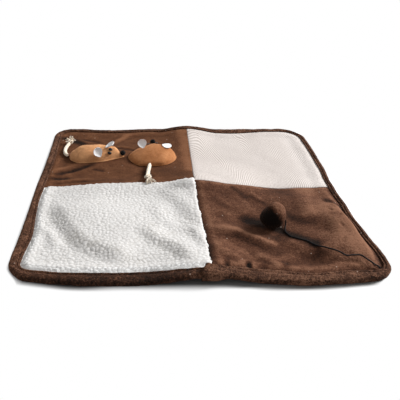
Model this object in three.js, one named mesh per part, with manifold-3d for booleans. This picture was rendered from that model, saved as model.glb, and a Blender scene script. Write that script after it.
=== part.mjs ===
// Sisal cat play mat: a flat square mat of four cloth panels with a folded edge binding, two felt
// mice with rope tails sewn on, and a stuffed toy ball on an elastic cord.
// Millimetres, +Z up, +X to the right and -Y to the front. The origin is on the surface that the
// mat lies on, under the middle of the mat.

import * as THREE from 'three';
import { mergeVertices } from 'three/addons/utils/BufferGeometryUtils.js';
import Module from 'manifold-3d';

const wasm = await Module();
wasm.setup();

// ---- Driving dimensions ------------------------------------------------------------------------

const HALF = 250;                     // half of the mat's side
const SEAM = { x: 16.5, y: 0 };       // the two seams between the four panels
const SEAM_GAP = 0.3;
const GAP = 0.6;                      // between a sewn-on piece and the cloth under it

const RADIUS = { frontLeft: 28, frontRight: 26, backRight: 46, backLeft: 35 };
const FLAP = { front: 14, right: 10, back: 12, left: 15 };   // width of the binding seen from above

const TUCK = 4;                       // from the binding's outer fold to the panels' cut edge
const SLOT_FLOOR = 2.4;               // height of the panels' underside inside the binding
const SLOT_EDGE = 17;                 // the underside comes down to the ground from this inset
const SLOT_MIDDLE = 28;
const SLOT_FOOT = 38;                 // and lies on it from this inset
const STEADY = 20;                    // the rise of the mat is level across this outer band

const COLOUR = {
  suede: 0x6a4530, sisal: 0xe6dad2, sherpa: 0xe9e9e6, plush: 0x60402e,
  felt: 0xb0753f, white: 0xf2f1ee, black: 0x121212, rope: 0xeadbc4,
};

// ---- The lie of the mat ------------------------------------------------------------------------

// Soft rises of the whole mat off the ground: centre, direction of the long axis in degrees,
// half length, half width and height.
const RISES = [
  { name: 'centre hump', x: 25, y: 0, turn: 0, long: 150, wide: 120, high: 12 },
  { name: 'left seam', x: -135, y: 0, turn: 0, long: 120, wide: 60, high: 5 },
  { name: 'right seam', x: 200, y: 0, turn: 0, long: 60, wide: 45, high: 2.5 },
  { name: 'back edge', x: 17, y: 240, turn: 90, long: 120, wide: 60, high: 6.5 },
  { name: 'front edge', x: 6, y: -240, turn: 90, long: 110, wide: 88, high: 9.5 },
  { name: 'front seam', x: 22, y: -125, turn: 90, long: 110, wide: 60, high: 4 },
  { name: 'plush panel', x: 180, y: -95, turn: 120, long: 95, wide: 60, high: 6 },
  { name: 'sherpa panel', x: -110, y: -90, turn: -35, long: 110, wide: 80, high: 7 },
  { name: 'crossing', x: 14, y: -5, turn: 0, long: 60, wide: 50, high: 5.5 },
  { name: 'front edge on the left', x: -110, y: -250, turn: 0, long: 115, wide: 60, high: 2 },
  { name: 'behind the sherpa', x: -100, y: 0, turn: 0, long: 95, wide: 45, high: 3.8 },
];

// Folds and fullness of the upper cloth alone, over the padding; a hollow has a negative height.
const FOLDS = [
  { name: 'plush roll on the right', x: 221, y: -120, turn: 92, long: 115, wide: 34, high: 8 },
  { name: 'plush front shoulder', x: 190, y: -175, turn: 150, long: 70, wide: 40, high: 5 },
  { name: 'plush back shoulder', x: 165, y: -40, turn: 20, long: 70, wide: 40, high: 4 },
  { name: 'hollow at the ball', x: 95, y: -110, turn: 30, long: 50, wide: 40, high: -3 },
  { name: 'plush front valley', x: 150, y: -200, turn: 10, long: 50, wide: 22, high: -3 },
  { name: 'plush ridge at the seam', x: 50, y: -130, turn: -35, long: 70, wide: 28, high: 2.5 },
  { name: 'sherpa at the crossing', x: 0, y: -15, turn: 0, long: 40, wide: 17, high: 5 },
];

// Folds of the upper cloth with one steep side. line: the middle of the steep side, whose left
// hand is the high side. wide: width of the steep side. reach: how far the fold falls away
// beyond it.
const FLANKS = {
  suede_panel: [],
  sisal_panel: [],
  sherpa_panel: [
    { name: 'long flank', high: 8, wide: 34, reach: 110,
      line: [[-231, -33], [-216, -63], [-199, -97], [-188, -125], [-173, -151], [-155, -174],
        [-140, -182], [-124, -191], [-108, -203], [-87, -211], [-73, -221]] },
    { name: 'flank at the seam', high: 5.5, wide: 26, reach: 42,
      line: [[-86, -120], [-76, -135], [-67, -148], [-56, -162], [-39, -171], [-26, -187],
        [-18, -208], [-15, -227]] },
    { name: 'upper flank', high: 2.6, wide: 28, reach: 34,
      line: [[-52, -4], [-48, -14], [-40, -30], [-27, -48], [-15, -67], [-3, -92], [3, -114]] },
    { name: 'middle flank', high: 2.6, wide: 26, reach: 36,
      line: [[-66, -57], [-58, -77], [-51, -102], [-46, -115], [-32, -126], [-19, -132]] },
    { name: 'flank of the left corner', high: 3, wide: 20, reach: 24,
      line: [[-227, -122], [-214, -138], [-202, -158], [-194, -182]] },
    { name: 'flank at the middle seam', high: 3.5, wide: 18, reach: 24,
      line: [[-10, -123], [-1, -140], [5, -166], [7, -188]] },
  ],
  plush_panel: [
    { name: 'ridge by the seam', high: 4.5, wide: 18, reach: 34,
      line: [[24, -134], [38, -140], [62, -142], [81, -155], [99, -170], [115, -180]] },
    { name: 'second ridge', high: 3, wide: 20, reach: 30,
      line: [[16, -159], [29, -184], [44, -198], [55, -209], [61, -220]] },
    { name: 'third ridge', high: 3, wide: 16, reach: 22,
      line: [[72, -189], [86, -200], [98, -209], [106, -221]] },
    { name: 'left side of the roll', high: 6, wide: 34, reach: 90,
      line: [[184, -14], [173, -61], [167, -98], [184, -107], [194, -128], [187, -155],
        [175, -182], [171, -203], [168, -218]] },
    { name: 'side of the valley', high: 4, wide: 26, reach: 40,
      line: [[112, -150], [122, -161], [142, -180], [158, -195], [161, -212]] },
  ],
};

// Where an edge of the mat is drawn inwards: place along the edge, how far it reaches, how much.
const PULLS = [
  { edge: 'front', at: -250, reach: 130, by: 18, power: 1 },
  { edge: 'front', at: -110, reach: 90, by: -1, power: 2 },
  { edge: 'front', at: -30, reach: 80, by: 1, power: 2 },
  { edge: 'front', at: 9, reach: 60, by: 3.6, power: 2 },
  { edge: 'front', at: 60, reach: 80, by: 6.2, power: 2 },
  { edge: 'front', at: 140, reach: 80, by: 2.8, power: 2 },
  { edge: 'front', at: 215, reach: 80, by: 4.7, power: 2 },
  { edge: 'front', at: 250, reach: 120, by: 10, power: 1 },
  { edge: 'back', at: -135, reach: 75, by: 6, power: 2 },
  { edge: 'right', at: -205, reach: 60, by: -4.5, power: 2 },
  { edge: 'right', at: -130, reach: 60, by: 1.5, power: 2 },
  { edge: 'right', at: -97, reach: 45, by: 2.6, power: 2 },
  { edge: 'right', at: -60, reach: 70, by: 2.8, power: 2 },
  { edge: 'right', at: 5, reach: 70, by: 5, power: 2 },
  { edge: 'right', at: 150, reach: 80, by: -1.4, power: 2 },
  { edge: 'left', at: -120, reach: 90, by: 1, power: 2 },
  { edge: 'left', at: 120, reach: 100, by: 1.8, power: 2 },
];
// Where the binding covers more of the panels, or less.
const WIDER = [
  { edge: 'front', at: -190, reach: 80, by: 3.9 },
  { edge: 'front', at: -110, reach: 80, by: 6.2 },
  { edge: 'front', at: -50, reach: 60, by: 4.6 },
  { edge: 'front', at: 0, reach: 50, by: 0.6 },
  { edge: 'front', at: 75, reach: 80, by: 8.3 },
  { edge: 'front', at: 150, reach: 80, by: 3.1 },
  { edge: 'front', at: 205, reach: 60, by: 3.5 },
  { edge: 'left', at: -190, reach: 80, by: -1.7 },
  { edge: 'left', at: -148, reach: 60, by: 3.5 },
  { edge: 'left', at: -100, reach: 70, by: -4 },
  { edge: 'left', at: -45, reach: 60, by: -4 },
];
// The bend of the middle seam to the left; high is the distance.
const DRIFT = { x: 16, y: -10, turn: 0, long: 110, wide: 130, high: -4.3 };
const INWARDS = { front: [0, 1], back: [0, -1], right: [-1, 0], left: [1, 0] };
const PULL_FROM = 90;                 // pulls fade out towards this distance from the middle

const clamp = THREE.MathUtils.clamp;
const radians = THREE.MathUtils.degToRad;

function smooth(t) {
  const c = clamp(t, 0, 1);
  return c * c * (3 - 2 * c);
}

function roundUp(t) {
  return Math.sin((Math.PI / 2) * clamp(t, 0, 1));
}

function bump(row, x, y) {
  const c = Math.cos(radians(row.turn));
  const s = Math.sin(radians(row.turn));
  const along = ((x - row.x) * c + (y - row.y) * s) / row.long;
  const across = (-(x - row.x) * s + (y - row.y) * c) / row.wide;
  return row.high * Math.max(0, 1 - along * along - across * across) ** 2;
}

function flank(row, x, y) {
  const lengths = row.line.slice(1).map(([x1, y1], k) => {
    const [x0, y0] = row.line[k];
    return Math.hypot(x1 - x0, y1 - y0);
  });
  const whole = lengths.reduce((sum, length) => sum + length, 0);
  let nearest = Infinity;
  let side = 0;
  let along = 0;
  let passed = 0;
  lengths.forEach((length, k) => {
    const [[x0, y0], [x1, y1]] = [row.line[k], row.line[k + 1]];
    const [c, s] = [(x1 - x0) / length, (y1 - y0) / length];
    const t = (x - x0) * c + (y - y0) * s;
    const across = -(x - x0) * s + (y - y0) * c;
    const gap = Math.hypot(across, t - clamp(t, 0, length));
    if (gap < nearest) {
      nearest = gap;
      side = across < 0 ? -gap : gap;
      along = (passed + clamp(t, 0, length)) / whole;
    }
    passed += length;
  });
  const taper = smooth(along * 3.5) * smooth((1 - along) * 4.5);
  return row.high * smooth(side / row.wide + 0.5) * (1 - smooth(side / row.reach)) * taper;
}

function total(rows, x, y) {
  return rows.reduce((sum, row) => sum + bump(row, x, y), 0);
}

// Height of the mat over the ground; level across the outer band, so that the binding keeps flat.
function rise(x, y) {
  const limit = HALF - STEADY;
  return total(RISES, clamp(x, -limit, limit), clamp(y, -limit, limit));
}

// The plan position of a point after the edges are drawn in.
function pulled(x, y) {
  const outwards = { front: -y, back: y, right: x, left: -x };
  const reachShare = (row, power) => {
    const along = INWARDS[row.edge][0] ? y : x;
    return Math.max(0, 1 - (Math.abs(along - row.at) / row.reach) ** power) ** 2;
  };
  let dx = bump(DRIFT, x, y);
  let dy = 0;
  const add = (row, amount) => {
    dx += INWARDS[row.edge][0] * amount;
    dy += INWARDS[row.edge][1] * amount;
  };
  for (const row of PULLS) {
    const faded = smooth((outwards[row.edge] - PULL_FROM) / (HALF - PULL_FROM));
    add(row, row.by * reachShare(row, row.power) * faded);
  }
  for (const row of WIDER) {
    const inset = HALF - outwards[row.edge];
    const flap = FLAP[row.edge];
    const faded = smooth(inset / flap) * (1 - smooth((inset - flap) / PULL_FROM));
    add(row, row.by * reachShare(row, 2) * faded);
  }
  return [x + dx, y + dy];
}

function cornerRadius(x, y) {
  if (y < 0) return x < 0 ? RADIUS.frontLeft : RADIUS.frontRight;
  return x < 0 ? RADIUS.backLeft : RADIUS.backRight;
}

// Cloth coordinates a and b run straight over the square; near a corner their lines bend round it.
function plan(a, b) {
  const radius = cornerRadius(a, b);
  const sideX = Math.sign(a);
  const sideY = Math.sign(b);
  const dx = Math.abs(a) - (HALF - radius);
  const dy = Math.abs(b) - (HALF - radius);
  if (dx <= 0 || dy <= 0) return pulled(a, b);
  const shrink = Math.max(dx, dy) / Math.hypot(dx, dy);
  return pulled(
    sideX * (HALF - radius + dx * shrink),
    sideY * (HALF - radius + dy * shrink),
  );
}

// ---- Cloth sheets ------------------------------------------------------------------------------

// A closed sheet between two surfaces over a grid of columns and rows. Each surface is a function
// of column and row that gives a point; diagonal(column, row) picks how a cell is cut.
function sheetGeometry(columns, rows, upper, lower, diagonal = () => true) {
  const across = columns.length;
  const count = across * rows.length;
  const positions = [];
  for (const surface of [upper, lower]) {
    for (const row of rows) {
      for (const column of columns) positions.push(...surface(column, row));
    }
  }
  const index = [];
  for (let j = 0; j < rows.length - 1; j += 1) {
    for (let i = 0; i < across - 1; i += 1) {
      const p = j * across + i;
      const q = p + 1;
      const r = q + across;
      const s = p + across;
      const cell = diagonal(columns[i], rows[j])
        ? [[p, q, r], [p, r, s]]
        : [[p, q, s], [q, r, s]];
      for (const [u, v, w] of cell) {
        index.push(u, v, w, u + count, w + count, v + count);
      }
    }
  }
  const rim = [];
  for (let i = 0; i < across - 1; i += 1) rim.push(i);
  for (let j = 0; j < rows.length - 1; j += 1) rim.push(j * across + across - 1);
  for (let i = across - 1; i > 0; i -= 1) rim.push((rows.length - 1) * across + i);
  for (let j = rows.length - 1; j > 0; j -= 1) rim.push(j * across);
  rim.forEach((p, k) => {
    const q = rim[(k + 1) % rim.length];
    index.push(p, p + count, q + count, p, q + count, q);
  });
  const geometry = new THREE.BufferGeometry();
  geometry.setAttribute('position', new THREE.Float32BufferAttribute(positions, 3));
  geometry.setIndex(index);
  return geometry;
}

// ---- The four panels ---------------------------------------------------------------------------

// Thickness at the sewn edges and in the middle, and how far the cloth takes to round up from the
// binding and from the seams.
const PANELS = [
  { name: 'suede_panel', sideX: -1, sideY: 1, edge: 4, full: 4.4, fromEdge: 8, fromSeam: 8,
    colour: COLOUR.suede },
  { name: 'sisal_panel', sideX: 1, sideY: 1, edge: 4, full: 4.8, fromEdge: 8, fromSeam: 8,
    colour: COLOUR.sisal },
  { name: 'sherpa_panel', sideX: -1, sideY: -1, edge: 4, full: 10.2, fromEdge: 10, fromSeam: 4,
    colour: COLOUR.sherpa },
  { name: 'plush_panel', sideX: 1, sideY: -1, edge: 4, full: 7, fromEdge: 14, fromSeam: 12,
    colour: COLOUR.plush },
];
const FLAP_STEPS = [0.6, 6];                              // grid lines beyond the binding's flap
const SEAM_STEPS = [SEAM_GAP / 2, 3, 9, 20];              // distances of those at a seam
const OPEN_CELL = 21;                                     // the size of a cell elsewhere

// The grid lines between one side of the mat and a seam, in rising order.
function gridLines(side, flap, seam) {
  const insets = [TUCK, ...FLAP_STEPS.map((step) => flap + step), SLOT_MIDDLE, SLOT_FOOT];
  const edge = insets.map((inset) => side * (HALF - inset));
  const near = SEAM_STEPS.map((distance) => seam + side * distance);
  const from = near.at(-1);
  const to = edge.at(-1);
  const cells = Math.round(Math.abs(to - from) / OPEN_CELL);
  const open = [];
  for (let k = 1; k < cells; k += 1) open.push(from + ((to - from) * k) / cells);
  return [...edge, ...near, ...open].sort((p, q) => p - q);
}

const LINES = {
  left: gridLines(-1, FLAP.left, SEAM.x), right: gridLines(1, FLAP.right, SEAM.x),
  front: gridLines(-1, FLAP.front, SEAM.y), back: gridLines(1, FLAP.back, SEAM.y),
};

function underside(a, b) {
  const [x, y] = plan(a, b);
  const inset = HALF - Math.max(Math.abs(a), Math.abs(b));
  const lifted = 1 - smooth((inset - SLOT_EDGE) / (SLOT_FOOT - SLOT_EDGE));
  return rise(x, y) + SLOT_FLOOR * lifted;
}

function panelTop(panel, a, b) {
  const [x, y] = plan(a, b);
  const flapX = panel.sideX < 0 ? FLAP.left : FLAP.right;
  const flapY = panel.sideY < 0 ? FLAP.front : FLAP.back;
  const share = roundUp((HALF - Math.abs(a) - flapX - FLAP_STEPS[0]) / panel.fromEdge)
    * roundUp((HALF - Math.abs(b) - flapY - FLAP_STEPS[0]) / panel.fromEdge)
    * roundUp(Math.abs(a - SEAM.x) / panel.fromSeam)
    * roundUp(Math.abs(b - SEAM.y) / panel.fromSeam);
  const steep = FLANKS[panel.name].reduce((sum, row) => sum + flank(row, x, y), 0);
  const loft = panel.full - panel.edge + total(FOLDS, x, y) + steep;
  return underside(a, b) + panel.edge + loft * share;
}

// The upper surface at a plan position away from the corners.
function topAt(x, y) {
  const panel = PANELS.find((p) => (x > SEAM.x) === (p.sideX > 0) && (y > SEAM.y) === (p.sideY > 0));
  return panelTop(panel, x, y);
}

function makePanel(panel) {
  const columns = panel.sideX < 0 ? LINES.left : LINES.right;
  const rows = panel.sideY < 0 ? LINES.front : LINES.back;
  return sheetGeometry(
    columns,
    rows,
    (a, b) => [...plan(a, b), panelTop(panel, a, b)],
    (a, b) => [...plan(a, b), underside(a, b)],
    () => panel.sideX * panel.sideY > 0,
  );
}

// ---- The edge binding --------------------------------------------------------------------------

// The section of the folded strip. inset: distance inwards from the outer fold, as millimetres or,
// with share true, as a share of the flap. wrap: how the section grows where the strip laps over
// its own start.
const SECTION = [
  { inset: 1, share: true, z: 0, wrapIn: 0, wrapUp: -2.5 },
  { inset: 3.5, z: 0, wrapIn: -2.8, wrapUp: -2.5 },
  { inset: 0, z: 3, wrapIn: -3.6, wrapUp: -1 },
  { inset: 0.8, z: 7, wrapIn: -3.6, wrapUp: 1.2 },
  { inset: 4, z: 9.2, wrapIn: -2.5, wrapUp: 2.8 },
  { inset: 0.7, share: true, z: 9.3, wrapIn: 0, wrapUp: 2.8 },
  { inset: 1, share: true, z: 7.9, wrapIn: 0, wrapUp: 2.8 },
  { inset: 1, share: true, z: 6.8, wrapIn: 0, wrapUp: 2.8 },
  { inset: 3.2, z: 6.8, wrapIn: -3.6, wrapUp: 2.8 },
  { inset: 3.2, z: 2.05, wrapIn: -3.6, wrapUp: -2.5 },
  { inset: 1, share: true, z: 2.05, wrapIn: 0, wrapUp: -2.5 },
];
const LAP = { start: 16, end: 2, climb: 20, foot: 38, curl: 3 };   // x on the front edge
const CORNER_STEPS = 5;

// The stations go round from the front middle by way of the left, back and right sides.
function bindingStations() {
  const stations = [];
  const clear = 3;                                       // from a corner's arc to the next line
  const add = (x, y, inX, inY, flap, wrap = 0) => stations.push({ x, y, inX, inY, flap, wrap });
  const within = (lines, low, high) => lines.filter((v) => v > low + clear && v < high - clear);
  const corner = (sideX, sideY, fromAngle, fromFlap, toFlap) => {
    const radius = cornerRadius(sideX, sideY);
    for (let k = 0; k <= CORNER_STEPS; k += 1) {
      const t = k / CORNER_STEPS;
      const angle = radians(fromAngle - 90 * t);
      const [outX, outY] = [Math.cos(angle), Math.sin(angle)];
      const x = sideX * (HALF - radius) + radius * outX;
      const y = sideY * (HALF - radius) + radius * outY;
      add(x, y, -outX, -outY, fromFlap + (toFlap - fromFlap) * t);
    }
  };
  const wrapAt = (x) => smooth((LAP.foot - x) / (LAP.foot - LAP.climb));
  const xs = [...LINES.left, ...LINES.right];
  const ys = [...LINES.front, ...LINES.back];

  add(LAP.start, -HALF, 0, 1, FLAP.front);
  for (const x of within(xs, RADIUS.frontLeft - HALF, LAP.start).reverse()) {
    add(x, -HALF, 0, 1, FLAP.front);
  }
  corner(-1, -1, 270, FLAP.front, FLAP.left);
  for (const y of within(ys, RADIUS.frontLeft - HALF, HALF - RADIUS.backLeft)) {
    add(-HALF, y, 1, 0, FLAP.left);
  }
  corner(-1, 1, 180, FLAP.left, FLAP.back);
  for (const x of within(xs, RADIUS.backLeft - HALF, HALF - RADIUS.backRight)) {
    add(x, HALF, 0, -1, FLAP.back);
  }
  corner(1, 1, 90, FLAP.back, FLAP.right);
  for (const y of within(ys, RADIUS.frontRight - HALF, HALF - RADIUS.backRight).reverse()) {
    add(HALF, y, -1, 0, FLAP.right);
  }
  corner(1, -1, 0, FLAP.right, FLAP.front);
  for (const x of within(xs, LAP.end, HALF - RADIUS.frontRight).reverse()) {
    add(x, -HALF, 0, 1, FLAP.front, wrapAt(x));
  }
  add(LAP.end, -HALF, 0, 1, FLAP.front, 1);
  return stations;
}

function sectionPoint(station, point, curl) {
  const inset = (point.share ? point.inset * station.flap : point.inset)
    + point.wrapIn * station.wrap;
  const across = clamp(inset / station.flap, 0, 1);
  const upper = point.z > SLOT_FLOOR * 2;
  const [x, y] = pulled(station.x + station.inX * inset, station.y + station.inY * inset);
  const lift = upper ? curl * across : 0;
  return [x, y, rise(x, y) + point.z + point.wrapUp * station.wrap + lift];
}

function makeBinding() {
  const stations = bindingStations();
  const size = SECTION.length;
  const positions = [];
  stations.forEach((station, k) => {
    const curl = k === stations.length - 1 ? LAP.curl : 0;
    for (const point of SECTION) positions.push(...sectionPoint(station, point, curl));
  });
  const index = [];
  for (let k = 0; k < stations.length - 1; k += 1) {
    for (let i = 0; i < size; i += 1) {
      const p = k * size + i;
      const q = k * size + ((i + 1) % size);
      index.push(p, q, q + size, p, q + size, p + size);
    }
  }
  const outline = SECTION.map((point) => {
    const inset = point.share ? point.inset * FLAP.front : point.inset;
    return new THREE.Vector2(inset, point.z);
  });
  const last = (stations.length - 1) * size;
  for (const [u, v, w] of THREE.ShapeUtils.triangulateShape(outline, [])) {
    index.push(u, v, w, last + u, last + w, last + v);
  }
  const geometry = new THREE.BufferGeometry();
  geometry.setAttribute('position', new THREE.Float32BufferAttribute(positions, 3));
  geometry.setIndex(index);
  return facingOut(geometry);
}

// Turns a closed mesh's faces round if its volume comes out negative.
function facingOut(geometry) {
  const p = geometry.attributes.position;
  const index = geometry.index.array;
  const corners = [new THREE.Vector3(), new THREE.Vector3(), new THREE.Vector3()];
  let volume = 0;
  for (let k = 0; k < index.length; k += 3) {
    corners.forEach((corner, i) => corner.fromBufferAttribute(p, index[k + i]));
    volume += corners[0].dot(corners[1].clone().cross(corners[2]));
  }
  if (volume < 0) {
    for (let k = 0; k < index.length; k += 3) {
      [index[k + 1], index[k + 2]] = [index[k + 2], index[k + 1]];
    }
  }
  return geometry;
}

// ---- The felt mice -----------------------------------------------------------------------------

const ARCH_STEPS = 8;
const FELT = 1.2;                     // thickness of the felt at the body's sewn edge
const NOSE_RADIUS = 4.9;
const EYE = { long: 3.9, wide: 2.8, thick: 1.2 };
const EAR = { wide: 17, thick: 1.2, stand: 0.7 };
const EAR_SECTIONS = [
  { at: 0, half: 0.16 },
  { at: 0.18, half: 0.55 },
  { at: 0.4, half: 0.9 },
  { at: 0.62, half: 1 },
  { at: 0.84, half: 0.8 },
  { at: 1, half: 0.36 },
];

// rear: plan position of the tail end. heading: direction of the nose in degrees. sections: from
// the rear to the snout, the share of the length, of the half width and of the height. skew leans
// the arch to the right. nose: how far ahead of the snout's tip it sits, and its height. Eyes and
// ears sit at a share of the length and an angle round the arch, 0 on the left and 180 on the
// right. An ear points along "to" and opens towards "face".
const MICE = [
  {
    name: 'mouse_1', rear: [-208.5, 119], heading: 2.7, long: 101, half: 25, high: 21.5,
    skew: 0, nose: { ahead: -2.3, z: 12.5 },
    sections: [
      [0, 0.25, 0.28], [0.047, 0.5, 0.46], [0.103, 0.72, 0.62], [0.187, 0.94, 0.83],
      [0.3, 0.96, 0.96], [0.43, 0.88, 1.02], [0.58, 0.8, 1.02], [0.69, 0.65, 0.97],
      [0.786, 0.46, 0.93], [0.85, 0.34, 0.9], [0.896, 0.26, 0.67], [0.916, 0.22, 0.5],
      [0.924, 0.19, 0.1], [1, 0.06, 0.03],
    ],
    eyes: [
      { name: 'eye_right', at: 0.733, angle: 145, turn: 15 },
      { name: 'eye_left', at: 0.754, angle: 124, turn: 15 },
    ],
    ears: [
      { name: 'ear_right', at: 0.576, angle: 157, long: 19, cup: 2.4, to: [-0.45, 0, 0.88],
        face: [0.25, -0.85, 0.45] },
      { name: 'ear_left', at: 0.673, angle: 112, long: 18.5, cup: 3, to: [0.82, 0.37, 0.42],
        face: [-0.35, 0.05, 0.93] },
    ],
  },
  {
    name: 'mouse_2', rear: [-56, 80.5], heading: 88.4, long: 86.5, half: 43.2, high: 17.5,
    skew: 0.16, nose: { ahead: 5.5, z: 13.4 },
    sections: [
      [0, 0.22, 0.2], [0.05, 0.5, 0.4], [0.1, 0.64, 0.53], [0.16, 0.75, 0.66],
      [0.24, 0.86, 0.8], [0.36, 0.96, 0.93], [0.5, 1, 1], [0.64, 0.86, 0.97],
      [0.78, 0.61, 0.75], [0.9, 0.37, 0.52], [1, 0.14, 0.45],
    ],
    eyes: [
      { name: 'eye_right', at: 0.765, angle: 105, turn: 0 },
      { name: 'eye_left', at: 0.765, angle: 75, turn: 0 },
    ],
    ears: [
      { name: 'ear_right', at: 0.6, angle: 117, long: 17.5, cup: 1, to: [0.9, -0.3, -0.1],
        face: [0.35, -0.15, 0.9] },
      { name: 'ear_left', at: 0.53, angle: 67, long: 16.5, cup: 2.4, to: [-0.25, 0.3, 0.85],
        face: [0.1, -0.8, 0.55] },
    ],
  },
];

function bodySection(mouse, share) {
  const next = Math.max(1, mouse.sections.findIndex((row) => row[0] >= share));
  const [low, high] = [mouse.sections[next - 1], mouse.sections[next]];
  const t = clamp((share - low[0]) / (high[0] - low[0]), 0, 1);
  return { wide: low[1] + (high[1] - low[1]) * t, high: low[2] + (high[2] - low[2]) * t };
}

// A point of the body: share of its length, angle round the arch, and whether on the arch or
// on the base under it.
function bodyPoint(mouse, share, angle, onArch = true) {
  const section = bodySection(mouse, share);
  const along = share * mouse.long;
  const left = section.wide * mouse.half * Math.cos(radians(angle));
  const c = Math.cos(radians(mouse.heading));
  const s = Math.sin(radians(mouse.heading));
  const x = mouse.rear[0] + along * c - left * s;
  const y = mouse.rear[1] + along * s + left * c;
  const lean = Math.sin(radians(angle)) - mouse.skew * Math.sin(radians(2 * angle));
  const arch = FELT + section.high * mouse.high * lean;
  return new THREE.Vector3(x, y, topAt(x, y) + GAP + (onArch ? arch : 0));
}

function bodyNormal(mouse, share, angle) {
  const step = 0.02;
  const turn = 4;
  const along = bodyPoint(mouse, Math.min(share + step, 1), angle)
    .sub(bodyPoint(mouse, share - step, angle));
  const round = bodyPoint(mouse, share, angle + turn).sub(bodyPoint(mouse, share, angle - turn));
  const normal = new THREE.Vector3().crossVectors(round, along).normalize();
  return normal.z < 0 ? normal.negate() : normal;
}

function makeBody(mouse) {
  const angles = [];
  for (let k = 0; k <= ARCH_STEPS; k += 1) angles.push(180 - (180 * k) / ARCH_STEPS);
  return sheetGeometry(
    mouse.sections.map((row) => row[0]),
    angles,
    (share, angle) => bodyPoint(mouse, share, angle).toArray(),
    (share, angle) => bodyPoint(mouse, share, angle, false).toArray(),
  );
}

// A cupped petal that starts at its narrow base and runs along +Y, open towards +Z.
function earGeometry(ear) {
  const surface = (lift) => (column, row) => [
    column * row.half * (EAR.wide / 2),
    row.at * ear.long,
    lift + ear.cup * (column * column - 1) * row.half,
  ];
  return sheetGeometry([-1, -0.5, 0, 0.5, 1], EAR_SECTIONS, surface(EAR.thick), surface(0));
}

function turnedTo(mesh, sideways, lengthways, outwards) {
  mesh.quaternion.setFromRotationMatrix(
    new THREE.Matrix4().makeBasis(sideways, lengthways, outwards),
  );
  return mesh;
}

function makeEar(mouse, ear) {
  const mesh = piece(`${mouse.name}_${ear.name}`, earGeometry(ear), COLOUR.white, 0.9);
  const to = new THREE.Vector3(...ear.to).normalize();
  const side = new THREE.Vector3().crossVectors(to, new THREE.Vector3(...ear.face)).normalize();
  const face = new THREE.Vector3().crossVectors(side, to);
  const root = bodyPoint(mouse, ear.at, ear.angle);
  root.addScaledVector(bodyNormal(mouse, ear.at, ear.angle), EAR.stand);
  root.addScaledVector(face, ear.cup * EAR_SECTIONS[0].half);
  mesh.position.copy(root);
  return turnedTo(mesh, side, to, face);
}

function makeEye(mouse, eye) {
  const geometry = new THREE.SphereGeometry(1, 10, 6).scale(EYE.long, EYE.wide, EYE.thick);
  const mesh = piece(`${mouse.name}_${eye.name}`, geometry, COLOUR.black, 0.35);
  const normal = bodyNormal(mouse, eye.at, eye.angle);
  const heading = radians(mouse.heading - eye.turn);
  const ahead = new THREE.Vector3(Math.cos(heading), Math.sin(heading), 0);
  const side = new THREE.Vector3().crossVectors(normal, ahead).normalize();
  mesh.position.copy(bodyPoint(mouse, eye.at, eye.angle)).addScaledVector(normal, EYE.thick + GAP);
  return turnedTo(mesh, new THREE.Vector3().crossVectors(side, normal), side, normal);
}

function makeNose(mouse) {
  const geometry = new THREE.SphereGeometry(NOSE_RADIUS, 12, 8);
  const mesh = piece(`${mouse.name}_nose`, geometry, COLOUR.black, 0.9);
  const reach = mouse.long + mouse.nose.ahead;
  const heading = radians(mouse.heading);
  mesh.position.set(
    mouse.rear[0] + reach * Math.cos(heading),
    mouse.rear[1] + reach * Math.sin(heading),
    mouse.nose.z,
  );
  return mesh;
}

// ---- Rope tails, ball and elastic --------------------------------------------------------------

const ROPE_RADIUS = 3.4;
const ELASTIC_RADIUS = 1;

// Middle lines of the tails, from where each leaves its piece.
const TAILS = {
  mouse_1_tail: [
    [-211.5, 121.5, 9.1], [-214.4, 123.8, 9.1], [-217.6, 131.5, 9.1], [-219.3, 143, 9.2],
    [-218.6, 155, 9.2], [-216.6, 165, 9.4], [-214.9, 171.5, 10.1],
  ],
  mouse_2_tail: [
    [-60.2, 79.7, 9.7], [-61, 70, 10.2], [-62, 60, 10.9], [-63, 50, 11.8], [-63.6, 40, 13],
    [-64, 30, 15], [-64, 22.6, 16.9],
  ],
};

// The elastic cord from the ball to the binding: plan position, and how far it hangs clear of the
// cloth it lies on.
const ELASTIC = [
  [135.3, -117, 10.4], [135.9, -118.6, 7.1], [135.6, -120.6, 3.6], [134.4, -124.2, 1.2],
  [133, -133.9, 0.2], [135, -143.1, 0], [138.4, -149.4, 0], [144.3, -154.1, 0],
  [151.2, -159.3, 0], [157.2, -164, 0], [164.6, -174.7, 0], [174.9, -184.8, 0],
  [186.1, -192.7, 0], [191.6, -197, 0], [196.5, -201.6, 0], [203.5, -201.8, 0],
  [210.1, -201.7, 0], [216.3, -202.9, 0], [222.4, -209.6, 0], [228.7, -215.5, 0],
  [233, -217.3, 0.1], [236.4, -219.4, 0.3],
];
const FEEL = 3;                       // how far round a point of the cord the cloth is felt for

// The cord's middle line, raised onto the faceted cloth.
function laidOn(cloth, rows) {
  const ray = new THREE.Raycaster();
  const down = new THREE.Vector3(0, 0, -1);
  const heightAt = (x, y) => {
    ray.set(new THREE.Vector3(x, y, HALF), down);
    const hits = ray.intersectObject(cloth);
    return hits.length ? hits[0].point.z : 0;
  };
  return rows.map(([x, y, clear]) => {
    let top = heightAt(x, y);
    for (let k = 0; k < 8; k += 1) {
      const turn = (Math.PI * k) / 4;
      top = Math.max(top, heightAt(x + FEEL * Math.cos(turn), y + FEEL * Math.sin(turn)));
    }
    return [x, y, top + GAP + ELASTIC_RADIUS + clear];
  });
}

function polygon(radius, sides) {
  const points = [];
  for (let k = 0; k < sides; k += 1) {
    const angle = (2 * Math.PI * k) / sides;
    points.push(new THREE.Vector2(radius * Math.cos(angle), radius * Math.sin(angle)));
  }
  return new THREE.Shape(points);
}

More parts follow.
